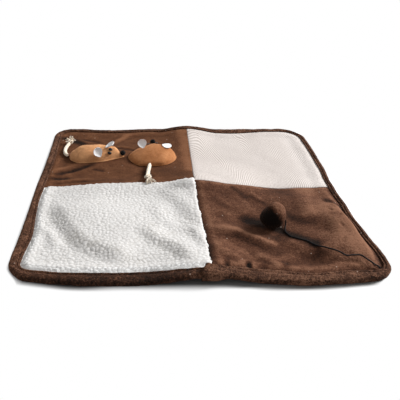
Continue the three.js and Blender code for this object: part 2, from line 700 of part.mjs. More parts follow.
function tube(route, radius, sides, step) {
  const curve = new THREE.CatmullRomCurve3(route.map((point) => new THREE.Vector3(...point)));
  return new THREE.ExtrudeGeometry(polygon(radius, sides), {
    steps: Math.round(curve.getLength() / step), extrudePath: curve,
  });
}

// Each tail ends in a knot with its strands frayed out. The strands leave "from" in a fan that
// is turned to "facing" and spreads over "spread" degrees; every second one stands higher.
const KNOTS = [
  { name: 'mouse_1_tail_knot', at: [-213.6, 177.6, 11.6], radius: 5.8,
    from: [-213.4, 179.5, 13.4], facing: 80, spread: 290, strands: 9, reach: 9.5, low: 2,
    high: 42 },
  { name: 'mouse_2_tail_knot', at: [-63.8, 15.6, 19], radius: 6.6, from: [-62.8, 7, 21.2],
    facing: -76, spread: 66, strands: 9, reach: 15, low: 0, high: 10 },
];
const STRAND = { root: 1.7, tip: 1.1 };

function solid(geometry) {
  const bare = geometry.clone();
  bare.deleteAttribute('normal');
  bare.deleteAttribute('uv');
  const merged = mergeVertices(bare);
  return new wasm.Manifold(new wasm.Mesh({
    numProp: 3,
    vertProperties: new Float32Array(merged.attributes.position.array),
    triVerts: new Uint32Array(merged.index.array),
  }));
}

function geometryOf(manifold) {
  const mesh = manifold.getMesh();
  const geometry = new THREE.BufferGeometry();
  geometry.setAttribute('position', new THREE.BufferAttribute(mesh.vertProperties, 3));
  geometry.setIndex(new THREE.BufferAttribute(mesh.triVerts, 1));
  return geometry;
}

function strandGeometry(knot, k) {
  const share = k / (knot.strands - 1) - 0.5;
  const angle = radians(knot.facing + share * knot.spread);
  const tilt = radians(k % 2 ? knot.high : knot.low);
  const direction = new THREE.Vector3(
    Math.cos(angle) * Math.cos(tilt), Math.sin(angle) * Math.cos(tilt), Math.sin(tilt),
  );
  const reach = knot.reach * (k % 2 ? 0.86 : 1);
  const turn = new THREE.Quaternion().setFromUnitVectors(new THREE.Vector3(0, 1, 0), direction);
  return new THREE.CylinderGeometry(STRAND.tip, STRAND.root, reach, 5)
    .translate(0, reach / 2, 0)
    .applyQuaternion(turn)
    .translate(...knot.from);
}

function makeKnot(knot) {
  const lump = new THREE.SphereGeometry(knot.radius, 12, 8).scale(1, 1, 0.86);
  let whole = solid(lump.translate(...knot.at));
  const heart = new THREE.SphereGeometry(knot.radius * 0.55, 10, 6);
  whole = whole.add(solid(heart.translate(...knot.from)));
  for (let k = 0; k < knot.strands; k += 1) whole = whole.add(solid(strandGeometry(knot, k)));
  return geometryOf(whole);
}

// The ball is a little taller than wide, and its upper left side is flattened.
const BALL = { x: 116, y: -117, radius: 19, tall: 20.4, slant: 0.3 };

function makeBall() {
  const geometry = new THREE.SphereGeometry(1, 18, 14).rotateX(Math.PI / 2);
  const p = geometry.attributes.position;
  for (let k = 0; k < p.count; k += 1) {
    const [x, y, z] = [p.getX(k), p.getY(k), p.getZ(k)];
    const slant = x < 0 && z > 0 ? 1 - BALL.slant * z : 1;
    p.setXYZ(k, x * BALL.radius * slant, y * BALL.radius, z * BALL.tall);
  }
  const floor = topAt(BALL.x, BALL.y) + GAP;
  return geometry.translate(BALL.x, BALL.y, floor + BALL.tall);
}

// ---- The whole mat -----------------------------------------------------------------------------

function piece(name, geometry, colour, roughness) {
  const material = new THREE.MeshStandardMaterial({ color: colour, roughness, metalness: 0 });
  const mesh = new THREE.Mesh(geometry, material);
  mesh.name = name;
  return mesh;
}

const mat = new THREE.Group();
for (const panel of PANELS) mat.add(piece(panel.name, makePanel(panel), panel.colour, 0.95));
mat.add(piece('edge_binding', makeBinding(), COLOUR.plush, 0.95));
for (const mouse of MICE) {
  mat.add(piece(`${mouse.name}_body`, makeBody(mouse), COLOUR.felt, 0.95));
  for (const ear of mouse.ears) mat.add(makeEar(mouse, ear));
  for (const eye of mouse.eyes) mat.add(makeEye(mouse, eye));
  mat.add(makeNose(mouse));
  const tail = `${mouse.name}_tail`;
  mat.add(piece(tail, tube(TAILS[tail], ROPE_RADIUS, 10, 5), COLOUR.rope, 0.9));
}
for (const knot of KNOTS) mat.add(piece(knot.name, makeKnot(knot), COLOUR.rope, 0.9));
mat.add(piece('toy_ball', makeBall(), COLOUR.plush, 0.95));
const cordLine = laidOn(mat.getObjectByName('plush_panel'), ELASTIC);
mat.add(piece('elastic_cord', tube(cordLine, ELASTIC_RADIUS, 8, 4.5), COLOUR.black, 0.6));

export default mat;
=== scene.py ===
"""The dressed play mat: four cloth panels in a folded plush binding, two felt mice with rope tails,
and a plush ball on an elastic.

Blender's objects are in metres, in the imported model's frame: +Z up, the front at -Y. Cloth is
worked out in millimetres and scaled as its mesh is made.
"""

import itertools
import math

import bpy
import numpy as np
from mathutils import Matrix, Vector


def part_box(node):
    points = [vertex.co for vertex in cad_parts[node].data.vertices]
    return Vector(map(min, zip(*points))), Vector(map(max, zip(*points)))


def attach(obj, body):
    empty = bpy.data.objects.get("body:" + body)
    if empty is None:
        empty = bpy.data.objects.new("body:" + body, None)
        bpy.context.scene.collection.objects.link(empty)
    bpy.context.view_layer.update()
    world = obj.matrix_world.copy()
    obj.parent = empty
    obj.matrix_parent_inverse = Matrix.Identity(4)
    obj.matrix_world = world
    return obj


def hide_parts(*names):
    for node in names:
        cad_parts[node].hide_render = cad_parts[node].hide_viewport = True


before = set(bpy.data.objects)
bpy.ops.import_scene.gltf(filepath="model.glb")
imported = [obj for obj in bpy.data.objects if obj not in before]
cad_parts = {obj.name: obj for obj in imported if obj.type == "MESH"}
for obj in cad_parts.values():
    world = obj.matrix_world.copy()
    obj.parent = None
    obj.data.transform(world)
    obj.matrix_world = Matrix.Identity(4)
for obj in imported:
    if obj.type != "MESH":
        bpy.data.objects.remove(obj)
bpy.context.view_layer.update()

MM = 0.001
BODY = "root"
HALF = 250  # half of the mat's side, in millimetres


# ---- Camera ----

scene = bpy.context.scene
scene.view_settings.view_transform = "Standard"


def add_camera():
    lens = bpy.data.cameras.new("camera")
    lens.sensor_width = 36
    lens.lens = 47.58
    lens.shift_x = 0.14225
    lens.clip_start = 0.01
    camera = bpy.data.objects.new("camera", lens)
    camera.location = (-0.072, -0.7691, 0.4299)
    camera.rotation_euler = (math.radians(59.85), 0, 0)
    scene.collection.objects.link(camera)
    scene.camera = camera


add_camera()


# ---- Shader nodes ----

class Wire:
    """A shader socket that can be used in sums."""

    def __init__(self, nodes, socket):
        self.nodes = nodes
        self.socket = socket

    def __add__(self, other):
        return self.nodes.maths("ADD", self, other)

    def __sub__(self, other):
        return self.nodes.maths("SUBTRACT", self, other)

    def __rsub__(self, other):
        return self.nodes.maths("SUBTRACT", other, self)

    def __mul__(self, other):
        return self.nodes.maths("MULTIPLY", self, other)

    __radd__, __rmul__ = __add__, __mul__


class Nodes:
    """The node tree of a material or of the world."""

    def __init__(self, owner, output):
        owner.use_nodes = True
        self.tree = owner.node_tree
        self.tree.nodes.clear()
        self.surface = self.tree.nodes.new(output).inputs["Surface"]

    def node(self, kind, settings=None, values=None, out=0):
        """Adds a node: its settings first, then the values or wires of its sockets."""
        made = self.tree.nodes.new(kind)
        for name, value in (settings or {}).items():
            if name == "stops":
                stops = made.color_ramp.elements
                while len(stops) < len(value):
                    stops.new(0.5)
                for stop, (position, colour) in zip(stops, value):
                    stop.position = position
                    stop.color = colour
            else:
                setattr(made, name, value)
        for socket, value in (values or {}).items():
            if isinstance(value, Wire):
                self.tree.links.new(value.socket, made.inputs[socket])
            else:
                made.inputs[socket].default_value = value
        return Wire(self, made.outputs[out])

    def maths(self, operation, first, second=0):
        return self.node("ShaderNodeMath", {"operation": operation}, {0: first, 1: second})

    def ray(self, kind):
        """1 where the surface is met by a ray of a kind, such as Is Camera Ray."""
        return self.node("ShaderNodeLightPath", out=kind)

    def show(self, wire):
        """Leads a shader to the output."""
        self.tree.links.new(wire.socket, self.surface)

    def show_mixed(self, share, first, second):
        self.show(self.node("ShaderNodeMixShader", {}, {0: share, 1: first, 2: second}))


FINISHES = {}


class Finish(Nodes):
    """A material of one piece of the mat, with its Principled shader."""

    def __init__(self, name, rough, gloss, sheen=0, sheen_rough=0.5, tint=(255, 255, 255)):
        FINISHES[name] = bpy.data.materials.new(name)
        super().__init__(FINISHES[name], "ShaderNodeOutputMaterial")
        values = {
            "Roughness": rough, "Specular IOR Level": gloss, "Sheen Weight": sheen,
            "Sheen Roughness": sheen_rough, "Sheen Tint": dye(*tint),
        }
        self.shader = self.node("ShaderNodeBsdfPrincipled", {}, values)
        self.show(self.shader)

    def feed(self, socket, wire):
        """Leads a wire into the Principled shader."""
        self.tree.links.new(wire.socket, self.shader.socket.node.inputs[socket])

    def place(self, stretch=(1, 1, 1), turn=0, source="Object"):
        """The piece's own coordinates, stretched and turned about Z."""
        where = self.node("ShaderNodeTexCoord", out=source)
        if stretch == (1, 1, 1) and not turn:
            return where
        return self.node(
            "ShaderNodeMapping", {}, {0: where, "Scale": stretch, "Rotation": (0, 0, turn)}
        )

    def noise(self, where, size, detail=2, rough=0.5, warp=0):
        """Noise from 0 to 1 whose lumps are about size millimetres across."""
        values = {
            "Vector": where, "Scale": 1000 / size, "Detail": detail, "Roughness": rough,
            "Distortion": warp,
        }
        return self.node("ShaderNodeTexNoise", {}, values)

    def wave(self, where, scale, distortion, values, **settings):
        """A wave from 0 to 1."""
        values = {"Vector": where, "Scale": scale, "Distortion": distortion, **values}
        return self.node("ShaderNodeTexWave", settings, values, out="Fac")

    def attribute(self, name):
        return self.node("ShaderNodeAttribute", {"attribute_name": name}, out="Fac")

    def ramp(self, wire, *stops):
        """A colour from a wire: stops are (position, red, green, blue)."""
        stops = [(position, dye(*colour)) for position, *colour in stops]
        return self.node("ShaderNodeValToRGB", {"stops": stops}, {0: wire})

    def dyed(self, wire, *stops):
        self.feed("Base Color", self.ramp(wire, *stops))

    def step(self, wire, low, high):
        """0 below low, 1 above high and smooth between them."""
        return self.node(
            "ShaderNodeMapRange",
            {"interpolation_type": "SMOOTHSTEP"},
            {"Value": wire, "From Min": low, "From Max": high},
        )

    def mix(self, factor, first, second):
        """A mix of two colours. The colour sockets of the node are 6 and 7, its output is 2."""
        values = {0: factor, 6: first, 7: second}
        return self.node("ShaderNodeMix", {"data_type": "RGBA"}, values, out=2)

    def relief(self, *layers):
        """Bumps on bumps: each layer is a wire and its height in millimetres."""
        under = {}
        for height, distance in layers:
            values = {"Height": height, "Distance": distance * MM, "Strength": 1, **under}
            under = {"Normal": self.node("ShaderNodeBump", {}, values)}
        self.feed("Normal", under["Normal"])


def dye(*colour):
    """A colour given as 8-bit sRGB."""
    shares = [value / 255 for value in colour]
    linear = (s / 12.92 if s <= 0.04045 else ((s + 0.055) / 1.055) ** 2.4 for s in shares)
    return (*linear, 1)


LINT_CELL, LINT_SHARE = 12, 0.3  # size in millimetres, and the share of cells that have a speck
SPECK = (0.04, 0.085)  # the radius of a speck and of its soft edge, as shares of a cell


def lint(finish, colour):
    """Pale specks of lint over a colour."""
    values = {"Vector": finish.place(), "Scale": 1000 / LINT_CELL, "Randomness": 1}
    near, pick = (
        finish.node("ShaderNodeTexVoronoi", {"feature": "F1"}, values, out=out)
        for out in ("Distance", "Color")
    )
    chosen = finish.node("ShaderNodeSeparateColor", {}, {0: pick})
    has_speck = finish.step(chosen, 1 - LINT_SHARE, 1.02 - LINT_SHARE)
    speck = (1 - finish.step(near, *SPECK)) * has_speck
    return finish.mix(speck * 0.75, colour, dye(206, 186, 172))


def pile_finish(name, dark, middle, light, sheen, rough):
    """Short-pile cloth: broad patches where the pile lies another way, strokes and grain, with
    painted light and shade from two attributes.
    """
    finish = Finish(name, 0.95, 0.1, sheen, 0.4, light)
    where = finish.place()
    broad = finish.noise(where, 34, 3, 0.6, 0.8)
    strokes = finish.noise(finish.place((1, 1.8, 1), 0.4), 8, 3, 0.65, 0.6)
    grain = finish.noise(where, 2.6, 3, 0.85)
    fibre = finish.noise(where, 1.1, 2, 0.6)
    # The attributes add painted light where the cloth stands up, painted shade in its hollows, and
    # listed patches of tone and painted shade; the near-black first stop is for painted shade such
    # as the ball's dark side.
    tone = (
        (broad - 0.5) * 0.3 + (strokes - 0.5) * 0.35 * rough + (grain - 0.5) * rough
        + (fibre - 0.5) * 0.4 * rough + finish.attribute("crest") * 0.5 + finish.attribute("nap")
        + 0.5
    )
    colour = finish.ramp(tone, (0, 10, 5, 3), (0.2, *dark), (0.5, *middle), (0.8, *light))
    finish.feed("Base Color", lint(finish, colour))
    finish.relief((strokes, 0.6 * rough), (grain, 1.3 * rough), (fibre, 0.3 * rough))


def grained_finish(name, shader, grain, stops, height, stretch=(1, 1, 1), turn=0):
    """An even finish of one noise: its size and roughness, its colours and its height."""
    finish = Finish(name, *shader)
    grain = finish.noise(finish.place(stretch, turn), *grain)
    finish.dyed(grain, *stops)
    finish.relief((grain, height))


# How far the shade draws back at the left, the right, the corners and the middle of the front.
FRONT_LIFTS = (17, 10, 16, 9)
ROUNDING = 22  # how far it draws back beside the front corners
# How fast the floor clears in front, how much faster on the right of it, and behind.
CLEARING, RIGHT_CLEARING, BACK_CLEARING = 2.1, 0.9, 12
BARE, DARK = (2, 42), (-8, 24)  # where the floor grows white, and where the painted shadow ends


def floor_finish():
    """A white floor, shaded close to the front edge of the mat by the lamp and by a painted shadow,
    and white beyond.
    """
    floor = Finish("floor", 0.9, 0.1)
    axes = floor.node("ShaderNodeSeparateXYZ", {}, {0: floor.place()}).socket.node.outputs
    across, along = Wire(floor, axes["X"]), Wire(floor, axes["Y"])
    left, right, corners, in_middle = (lift * MM for lift in FRONT_LIFTS)

    def past(wire, low, high):
        """0 below low, 1 above high, both in millimetres."""
        return floor.step(wire, low * MM, high * MM)

    def over(wire):
        return floor.maths("MAXIMUM", wire)

    def size(wire):
        return floor.maths("ABSOLUTE", wire)

    aside, behind = size(across), past(along, 0, 100)
    drawn = (
        (1 - past(across, -HALF, -130)) * left + past(across, 140, HALF) * right
        + past(aside, HALF - 26, HALF) * corners
        + (1 - past(size(across + 40 * MM), 60, 140)) * in_middle
    )
    ahead = over(along * -1 - HALF * MM + drawn)
    beyond = over(size(along) - HALF * MM)
    beside = over(aside - HALF * MM + (1 - past(along, -HALF, -205)) * ROUNDING * MM)
    clearing = past(across, 60, 200) * RIGHT_CLEARING + CLEARING
    near = ahead * clearing + beyond * behind * BACK_CLEARING
    bare = floor.maths("MAXIMUM", past(near, *BARE), past(beside, 0, 5))
    # Painted shadow: the floor's own colour darkened under the front edge of the mat.
    dark = (1 - past(near, *DARK)) * (1 - behind) * (1 - past(aside, HALF - 40, HALF - 6))
    shade = floor.mix(dark, (0.97, 0.97, 0.97, 1), (0.1, 0.095, 0.09, 1))
    seen = floor.ray("Is Camera Ray")
    floor.feed("Base Color", floor.mix(seen, (0.5, 0.5, 0.5, 1), shade))
    white = floor.node("ShaderNodeEmission", {}, {"Color": (1, 1, 1, 1), "Strength": 1})
    floor.show_mixed((seen + floor.ray("Is Glossy Ray")) * bare, floor.shader, white)


# Dark, middle and light colours of the pile, its sheen and its roughness.
PILES = {
    "plush": ((47, 27, 17), (84, 53, 38), (129, 91, 70), 0.22, 1),
    "suede": ((54, 32, 20), (85, 53, 34), (122, 82, 57), 0.15, 0.8),
    "binding": ((34, 20, 13), (72, 46, 33), (126, 90, 70), 0.32, 1.8),
}


def sherpa_finish():
    sherpa = Finish("sherpa", 1, 0.1, 0.15)
    where = sherpa.place()
    curl = sherpa.noise(where, 1.6, 3, 0.65, 1.5)
    cloudy = sherpa.noise(where, 30)
    # Painted shade between the tufts and along the folds, and painted light near the binding; the
    # palest first stop is for that light.
    crevice = sherpa.attribute("crevice")
    tone = crevice * 0.5 + (1 - curl) * 0.2 + cloudy * 0.15 + sherpa.attribute("nap")
    sherpa.dyed(
        tone, (0, 246, 245, 243), (0.12, 213, 211, 209), (0.5, 205, 202, 199), (1, 160, 156, 150)
    )
    sherpa.relief((sherpa.noise(where, 3.4, 2, 0.6, 1), 0.25), (curl, 0.35))


def sisal_finish():
    """Fine wavy ribs with knots in the yarn."""
    sisal = Finish("sisal", 0.85, 0.2)
    rib = sisal.wave(
        sisal.place((1, 0.34, 1)), 314 / 2.3, 44, {"Detail": 0, "Detail Scale": 0.15},
        wave_type="RINGS", rings_direction="Z", wave_profile="SIN",
    )
    knot = sisal.noise(sisal.place((1, 1.8, 1)), 2.4, 2, 0.6)
    cloudy = sisal.noise(sisal.place(), 60)
    tone = rib * 0.4 + knot * 0.65 + cloudy * 0.15 + sisal.attribute("nap")
    sisal.dyed(
        tone, (0.25, 154, 141, 134), (0.5, 193, 184, 178), (0.85, 219, 211, 206),
        (1, 247, 240, 235),
    )
    sisal.relief((rib, 0.25), (knot, 0.25))


def felt_finish():
    felt = Finish("felt", 0.95, 0.15, 0.25, tint=(214, 170, 132))
    where = felt.place()
    fibre = felt.noise(felt.place((1, 3, 2), 0.7), 2.4, 4, 0.7, 1.2)
    tone = fibre * 0.6 + felt.noise(where, 17, 3, 0.6, 0.5) * 0.5 + felt.attribute("nap")
    felt.dyed(
        tone, (0.3, 130, 78, 44), (0.55, 166, 108, 66), (0.8, 198, 142, 98), (1, 230, 172, 122)
    )
    felt.relief((fibre, 0.5), (felt.noise(where, 0.8), 0.3))


def rope_finish():
    rope = Finish("rope", 0.9, 0.15, 0.2)
    yarn = rope.wave(
        rope.place(source="UV"), 0.3, 0.6, {"Detail": 2},
        wave_type="BANDS", bands_direction="DIAGONAL",
    )
    fibre = rope.noise(rope.place(), 0.9, 3, 0.7)
    rope.dyed(
        yarn * 0.5 + fibre * 0.6, (0.2, 218, 196, 168), (0.5, 244, 229, 208), (0.85, 253, 245, 231)
    )
    rope.relief((yarn, 0.35), (fibre, 0.25))


def elastic_finish():
    elastic = Finish("elastic", 0.7, 0.12)
    where = elastic.place(turn=0.785, source="UV")
    braid = elastic.node("ShaderNodeTexChecker", {}, {"Vector": where, "Scale": 2}, out="Fac")
    elastic.dyed(braid, (0, 5, 5, 6), (1, 18, 18, 19))
    elastic.relief((braid, 0.1))


def make_finishes():
    for name, row in PILES.items():
        pile_finish(name, *row)
    sherpa_finish()
    sisal_finish()
    felt_finish()
    grained_finish(
        "white_felt", (0.95, 0.15, 0.5), (1.8, 4, 0.7, 1),
        ((0.3, 246, 246, 247), (0.65, 254, 254, 255)), 0.4, (1, 2, 1), 0.4,
    )
    grained_finish("eye", (0.4, 0.2), (0.7,), ((0.3, 6, 6, 7), (0.7, 16, 15, 16)), 0.06)
    grained_finish(
        "pompom", (1, 0.1, 0.12), (1, 3, 0.7), ((0.3, 9, 9, 10), (0.7, 30, 29, 30)), 0.6
    )
    rope_finish()
    elastic_finish()
    floor_finish()


make_finishes()


# ---- Light ----

def add_lamp(name, place, size, power):
    """Adds a soft square lamp that is turned to the middle of the mat."""
    lamp = bpy.data.lights.new(name, "AREA")
    lamp.size = size
    lamp.energy = power
    stand = bpy.data.objects.new(name, lamp)
    stand.location = place
    stand.rotation_euler = (-Vector(place)).to_track_quat("-Z", "Y").to_euler()
    scene.collection.objects.link(stand)


def add_world(strength):
    """An even white surround, which is plain white where the camera or a gloss sees it."""
    scene.world = bpy.data.worlds.new("surround")
    nodes = Nodes(scene.world, "ShaderNodeOutputWorld")
    light, plain = (
        nodes.node("ShaderNodeBackground", {}, {"Color": (1, 1, 1, 1), "Strength": power})
        for power in (strength, 1)
    )
    seen = nodes.maths("MAXIMUM", nodes.ray("Is Camera Ray"), nodes.ray("Is Glossy Ray"))
    nodes.show_mixed(seen, light, plain)


add_lamp("window", place=(5, 2, 3.3), size=2, power=660)
add_world(strength=0.42)


# ---- Meshes ----

def add_piece(name, slot, node, points, faces, uv=None, shades=None):
    """Makes a closed, outward facing piece from points in millimetres, in place of a CAD node."""
    mesh = bpy.data.meshes.new(name)
    mesh.from_pydata((np.asarray(points) * MM).tolist(), [], [list(face) for face in faces])
    mesh.validate()
    if signed_volume(mesh) < 0:
        mesh.flip_normals()
    mesh.polygons.foreach_set("use_smooth", [True] * len(mesh.polygons))
    for label, values in (shades or {}).items():
        mesh.attributes.new(label, "FLOAT", "POINT").data.foreach_set("value", values)
    if uv is not None:
        corners = np.empty(len(mesh.loops), dtype=int)
        mesh.loops.foreach_get("vertex_index", corners)
        layer = mesh.uv_layers.new(name="UVMap")
        layer.data.foreach_set("uv", np.asarray(uv, dtype=float)[corners].ravel())
    piece = bpy.data.objects.new(name, mesh)
    scene.collection.objects.link(piece)
    return dress(piece, slot, node)


def dress(piece, slot, node):
    """Gives a piece its finish and its body, and hides the CAD node that it stands for."""
    piece.data.materials.append(FINISHES[slot])
    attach(piece, BODY)
    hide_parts(node)
    return piece


def signed_volume(mesh):
    mesh.calc_loop_triangles()
    corners = np.empty(len(mesh.loop_triangles) * 3, dtype=int)
    mesh.loop_triangles.foreach_get("vertices", corners)
    points = np.empty(len(mesh.vertices) * 3)
    mesh.vertices.foreach_get("co", points)
    a, b, c = points.reshape(-1, 3)[corners.reshape(-1, 3)].transpose(1, 0, 2)
    return float(np.sum(a * np.cross(b, c))) / 6


def quads(index, closed=False):
    """Four-sided faces of a grid of points, whose columns may close to a ring."""
    after = np.roll(index, -1, axis=1)
    if not closed:
        index, after = index[:, :-1], after[:, :-1]
    return np.stack([index[:-1], after[:-1], after[1:], index[1:]], -1).reshape(-1, 4)


def sleeve(count, size):
    """Faces of a count of rings of a size, and one face across each end."""
    index = np.arange(count * size).reshape(count, size)
    return quads(index, closed=True).tolist() + [index[0, ::-1].tolist(), index[-1].tolist()]


def closed_sheet(upper, lower):
    """Points and faces of a sheet between two grids; the lower one may be coarser."""
    ratio = (len(upper) - 1) // (len(lower) - 1)
    top, bottom = (np.arange(grid[..., 0].size).reshape(grid.shape[:2]) for grid in (upper, lower))
    bottom = bottom + top.size

    def rim(index):
        parts = index[0, :-1], index[:-1, -1], index[-1, :0:-1], index[:0:-1, 0]
        return np.concatenate(parts).tolist()

    faces = quads(top).tolist() + quads(bottom)[:, ::-1].tolist()
    fine, coarse = rim(top), rim(bottom)
    for k, corner in enumerate(coarse):
        run = [fine[(k * ratio + j) % len(fine)] for j in range(ratio + 1)]
        faces.append(run[::-1] + [corner, coarse[(k + 1) % len(coarse)]])
    return np.concatenate([upper.reshape(-1, 3), lower.reshape(-1, 3)]), faces


def smooth(t):
    t = np.clip(t, 0, 1)
    return t * t * (3 - 2 * t)


def round_up(t):
    return np.sin(np.pi / 2 * np.clip(t, 0, 1))


LATTICE_TURN = np.array(Matrix.Rotation(0.7, 3, "Z") @ Matrix.Rotation(0.5, 3, "X"))


def noise(points, size, seed):
    """Smooth noise from -1 to 1 whose lumps are about size across."""
    points = np.asarray(points, dtype=float)
    side = 32
    table = np.random.default_rng(seed).uniform(-1, 1, (side, side, side))
    at = points @ LATTICE_TURN / size
    cell = np.floor(at).astype(int)
    part = smooth(at - cell)
    total = np.zeros(points.shape[:-1])
    for corner in itertools.product((0, 1), repeat=3):
        index = (cell + corner) % side
        weight = np.prod(np.where(np.array(corner) == 1, part, 1 - part), axis=-1)
        total += weight * table[index[..., 0], index[..., 1], index[..., 2]]
    return total


def tapered(along, into, out):
    """0 at both ends of a line from 0 to 1, and 1 between."""
    return smooth(along * into) * smooth((1 - along) * out)


def layered(points, *layers):
    """A sum of noises, each with its size, seed and height."""
    return sum(noise(points, size, seed) * height for size, seed, height in layers)


def flat(x, y):
    return np.stack([x, y, np.zeros_like(x)], -1)


def pebbles(x, y, size, seed):
    """Distance to the nearest of scattered points, as a share of size, and the next nearest."""
    side = 128
    offsets = np.random.default_rng(seed).uniform(0.02, 0.98, (side, side, 2))
    u, v = x / size, y / size
    column, row = np.floor(u).astype(int), np.floor(v).astype(int)
    first = np.full(x.shape, 9.0)
    second = np.full(x.shape, 9.0)
    for dx, dy in itertools.product((-1, 0, 1), repeat=2):
        i, j = column + dx, row + dy
        spot = offsets[i % side, j % side]
        gap = np.hypot(i + spot[..., 0] - u, j + spot[..., 1] - v)
        second = np.minimum(second, np.maximum(first, gap))
        first = np.minimum(first, gap)
    return first, second


def read_smoothly(knots, values, slopes, at):
    """Rows of numbers with their slopes, read smoothly at places between their knots."""
    k = np.clip(np.searchsorted(knots, at) - 1, 0, len(knots) - 2)
    span = (knots[k + 1] - knots[k])[..., None]
    t = (at - knots[k])[..., None] / span
    return (
        values[k] * (2 * t ** 3 - 3 * t ** 2 + 1) + values[k + 1] * (3 * t ** 2 - 2 * t ** 3)
        + slopes[k] * span * (t ** 3 - 2 * t ** 2 + t) + slopes[k + 1] * span * (t ** 3 - t ** 2)
    )


def smooth_table(rows, at):
    """Columns of a table, whose first column rises, read smoothly at places along it."""
    knots, *columns = np.array(rows, dtype=float).T
    values = np.stack(columns, -1)
    slopes = np.gradient(values, knots, axis=0)
    return read_smoothly(knots, values, slopes, np.clip(at, knots[0], knots[-1]))


def unit(vectors):
    vectors = np.asarray(vectors, dtype=float)
    return vectors / np.linalg.norm(vectors, axis=-1, keepdims=True)


def beside(direction):
    """A direction square to another, and level unless that one stands nearly upright."""
    return unit(np.cross(direction, (0, 0, 1) if abs(direction[2]) < 0.9 else (1, 0, 0)))


def through(points, at):
    """A smooth curve through rows of numbers, at places from 0 to the last row."""
    points = np.asarray(points, dtype=float)
    ends = np.pad(points, ((1, 1), (0, 0)), "edge")
    return read_smoothly(np.arange(len(points)), points, (ends[2:] - ends[:-2]) / 2, at)


def distances(line):
    """How far along a line each of its points lies."""
    return np.concatenate([[0], np.cumsum(np.linalg.norm(np.diff(line, axis=0), axis=1))])


def route_through(points, step):
    """Points about step apart along a smooth curve."""
    count = len(points)
    fine = through(points, np.linspace(0, count - 1, count * 40))
    along = distances(fine)
    places = np.linspace(0, along[-1], max(3, round(along[-1] / step) + 1))
    return np.stack([np.interp(places, along, column) for column in fine.T], -1)


def frames_along(points):
    """Two directions across a route at each of its points, without twist."""
    ahead = unit(np.gradient(points, axis=0))
    sides = [beside(ahead[0])]
    for direction in ahead[1:]:
        sides.append(unit(sides[-1] - direction * np.dot(sides[-1], direction)))
    return np.array(sides), np.cross(ahead, sides)


def tube(points, radius, sides):
    """Points, faces and UV of a tube along a route, with a radius or one for each point."""
    radius = np.broadcast_to(radius, (len(points),))[:, None, None]
    across, up = frames_along(points)
    angle = np.linspace(0, 2 * np.pi, sides, endpoint=False)[None, :, None]
    rings = points[:, None] + radius * (
        np.cos(angle) * across[:, None] + np.sin(angle) * up[:, None]
    )
    uv = np.stack(np.broadcast_arrays(
        np.arange(sides)[None, :] / sides * 4, distances(points)[:, None]
    ), -1)
    return rings.reshape(-1, 3), sleeve(len(points), sides), uv.reshape(-1, 2)


def joined(parts):
    """One mesh from several: points, faces and, where the parts have it, UV."""
    points, faces, *uv = zip(*parts)
    starts = np.cumsum([0] + [len(part) for part in points]).tolist()
    faces = [
        [start + corner for corner in face] for start, part in zip(starts, faces) for face in part
    ]
    return np.concatenate(points), faces, *map(np.concatenate, uv)


# ---- The lie of the mat ----

SEAM_X, SEAM_Y = 16.5, 0  # lines of the two seams between the panels
SEAM_GAP = 0.3
GAP = 0.6  # clearance beside cloth and over it
RADIUS = {(-1, -1): 28, (1, -1): 26, (1, 1): 46, (-1, 1): 35}  # of the corners
FLAP = {"front": 14, "right": 10, "back": 12, "left": 15}  # width of the binding
TUCK = 4  # inset of the panels' cut edges
SLOT_FLOOR = 2.4  # height of the cut edges over the floor
SLOT_EDGE, SLOT_FOOT = 17, 38  # insets between which the panels come down
STEADY = 20  # width of the edge that has no rise of its own
PULL_FROM = 90  # how far into the mat a drawn edge is felt

# Soft rises of the whole mat: x, y, turn in degrees, half length, half width, height.
RISES = (
    (25, 0, 0, 150, 120, 12), (-135, 0, 0, 120, 60, 5), (200, 0, 0, 60, 45, 2.5),
    (17, 240, 90, 120, 60, 6.5), (6, -240, 90, 110, 88, 9.5), (22, -125, 90, 110, 60, 4),
    (180, -95, 120, 95, 60, 6), (-110, -90, -35, 110, 80, 7), (14, -5, 0, 60, 50, 5.5),
    (-110, -250, 0, 115, 60, 2), (-100, 0, 0, 95, 45, 3.8),
)

# Folds and fullness of the upper cloth alone.
FOLDS = (
    (221, -120, 92, 115, 34, 8), (190, -175, 150, 70, 40, 5), (165, -40, 20, 70, 40, 4),
    (95, -110, 30, 50, 40, -3), (150, -200, 10, 50, 22, -3), (50, -130, -35, 70, 28, 2.5),
    (0, -15, 0, 40, 17, 5),
)

SHERPA_FLANKS = (
    (8, 34, 110, (-231, -33), (-216, -63), (-199, -97), (-188, -125), (-173, -151),
     (-155, -174), (-140, -182), (-124, -191), (-108, -203), (-87, -211), (-73, -221)),
    (5.5, 26, 42, (-86, -120), (-76, -135), (-67, -148), (-56, -162), (-39, -171), (-26, -187),
     (-18, -208), (-15, -227)),
    (2.6, 28, 34, (-52, -4), (-48, -14), (-40, -30), (-27, -48), (-15, -67), (-3, -92), (3, -114)),
    (2.6, 26, 36, (-66, -57), (-58, -77), (-51, -102), (-46, -115), (-32, -126), (-19, -132)),
    (3, 20, 24, (-227, -122), (-214, -138), (-202, -158), (-194, -182)),
    (3.5, 18, 24, (-10, -123), (-1, -140), (5, -166), (7, -188)),
)

PLUSH_FLANKS = (
    (4.5, 18, 34, (24, -134), (38, -140), (62, -142), (81, -155), (99, -170), (115, -180)),
    (3, 20, 30, (16, -159), (29, -184), (44, -198), (55, -209), (61, -220)),
    (3, 16, 22, (72, -189), (86, -200), (98, -209), (106, -221)),
    (6, 34, 90, (184, -14), (173, -61), (167, -98), (184, -107), (194, -128), (187, -155),
     (175, -182), (171, -203), (168, -218)),
    (4, 26, 40, (112, -150), (122, -161), (142, -180), (158, -195), (161, -212)),
)

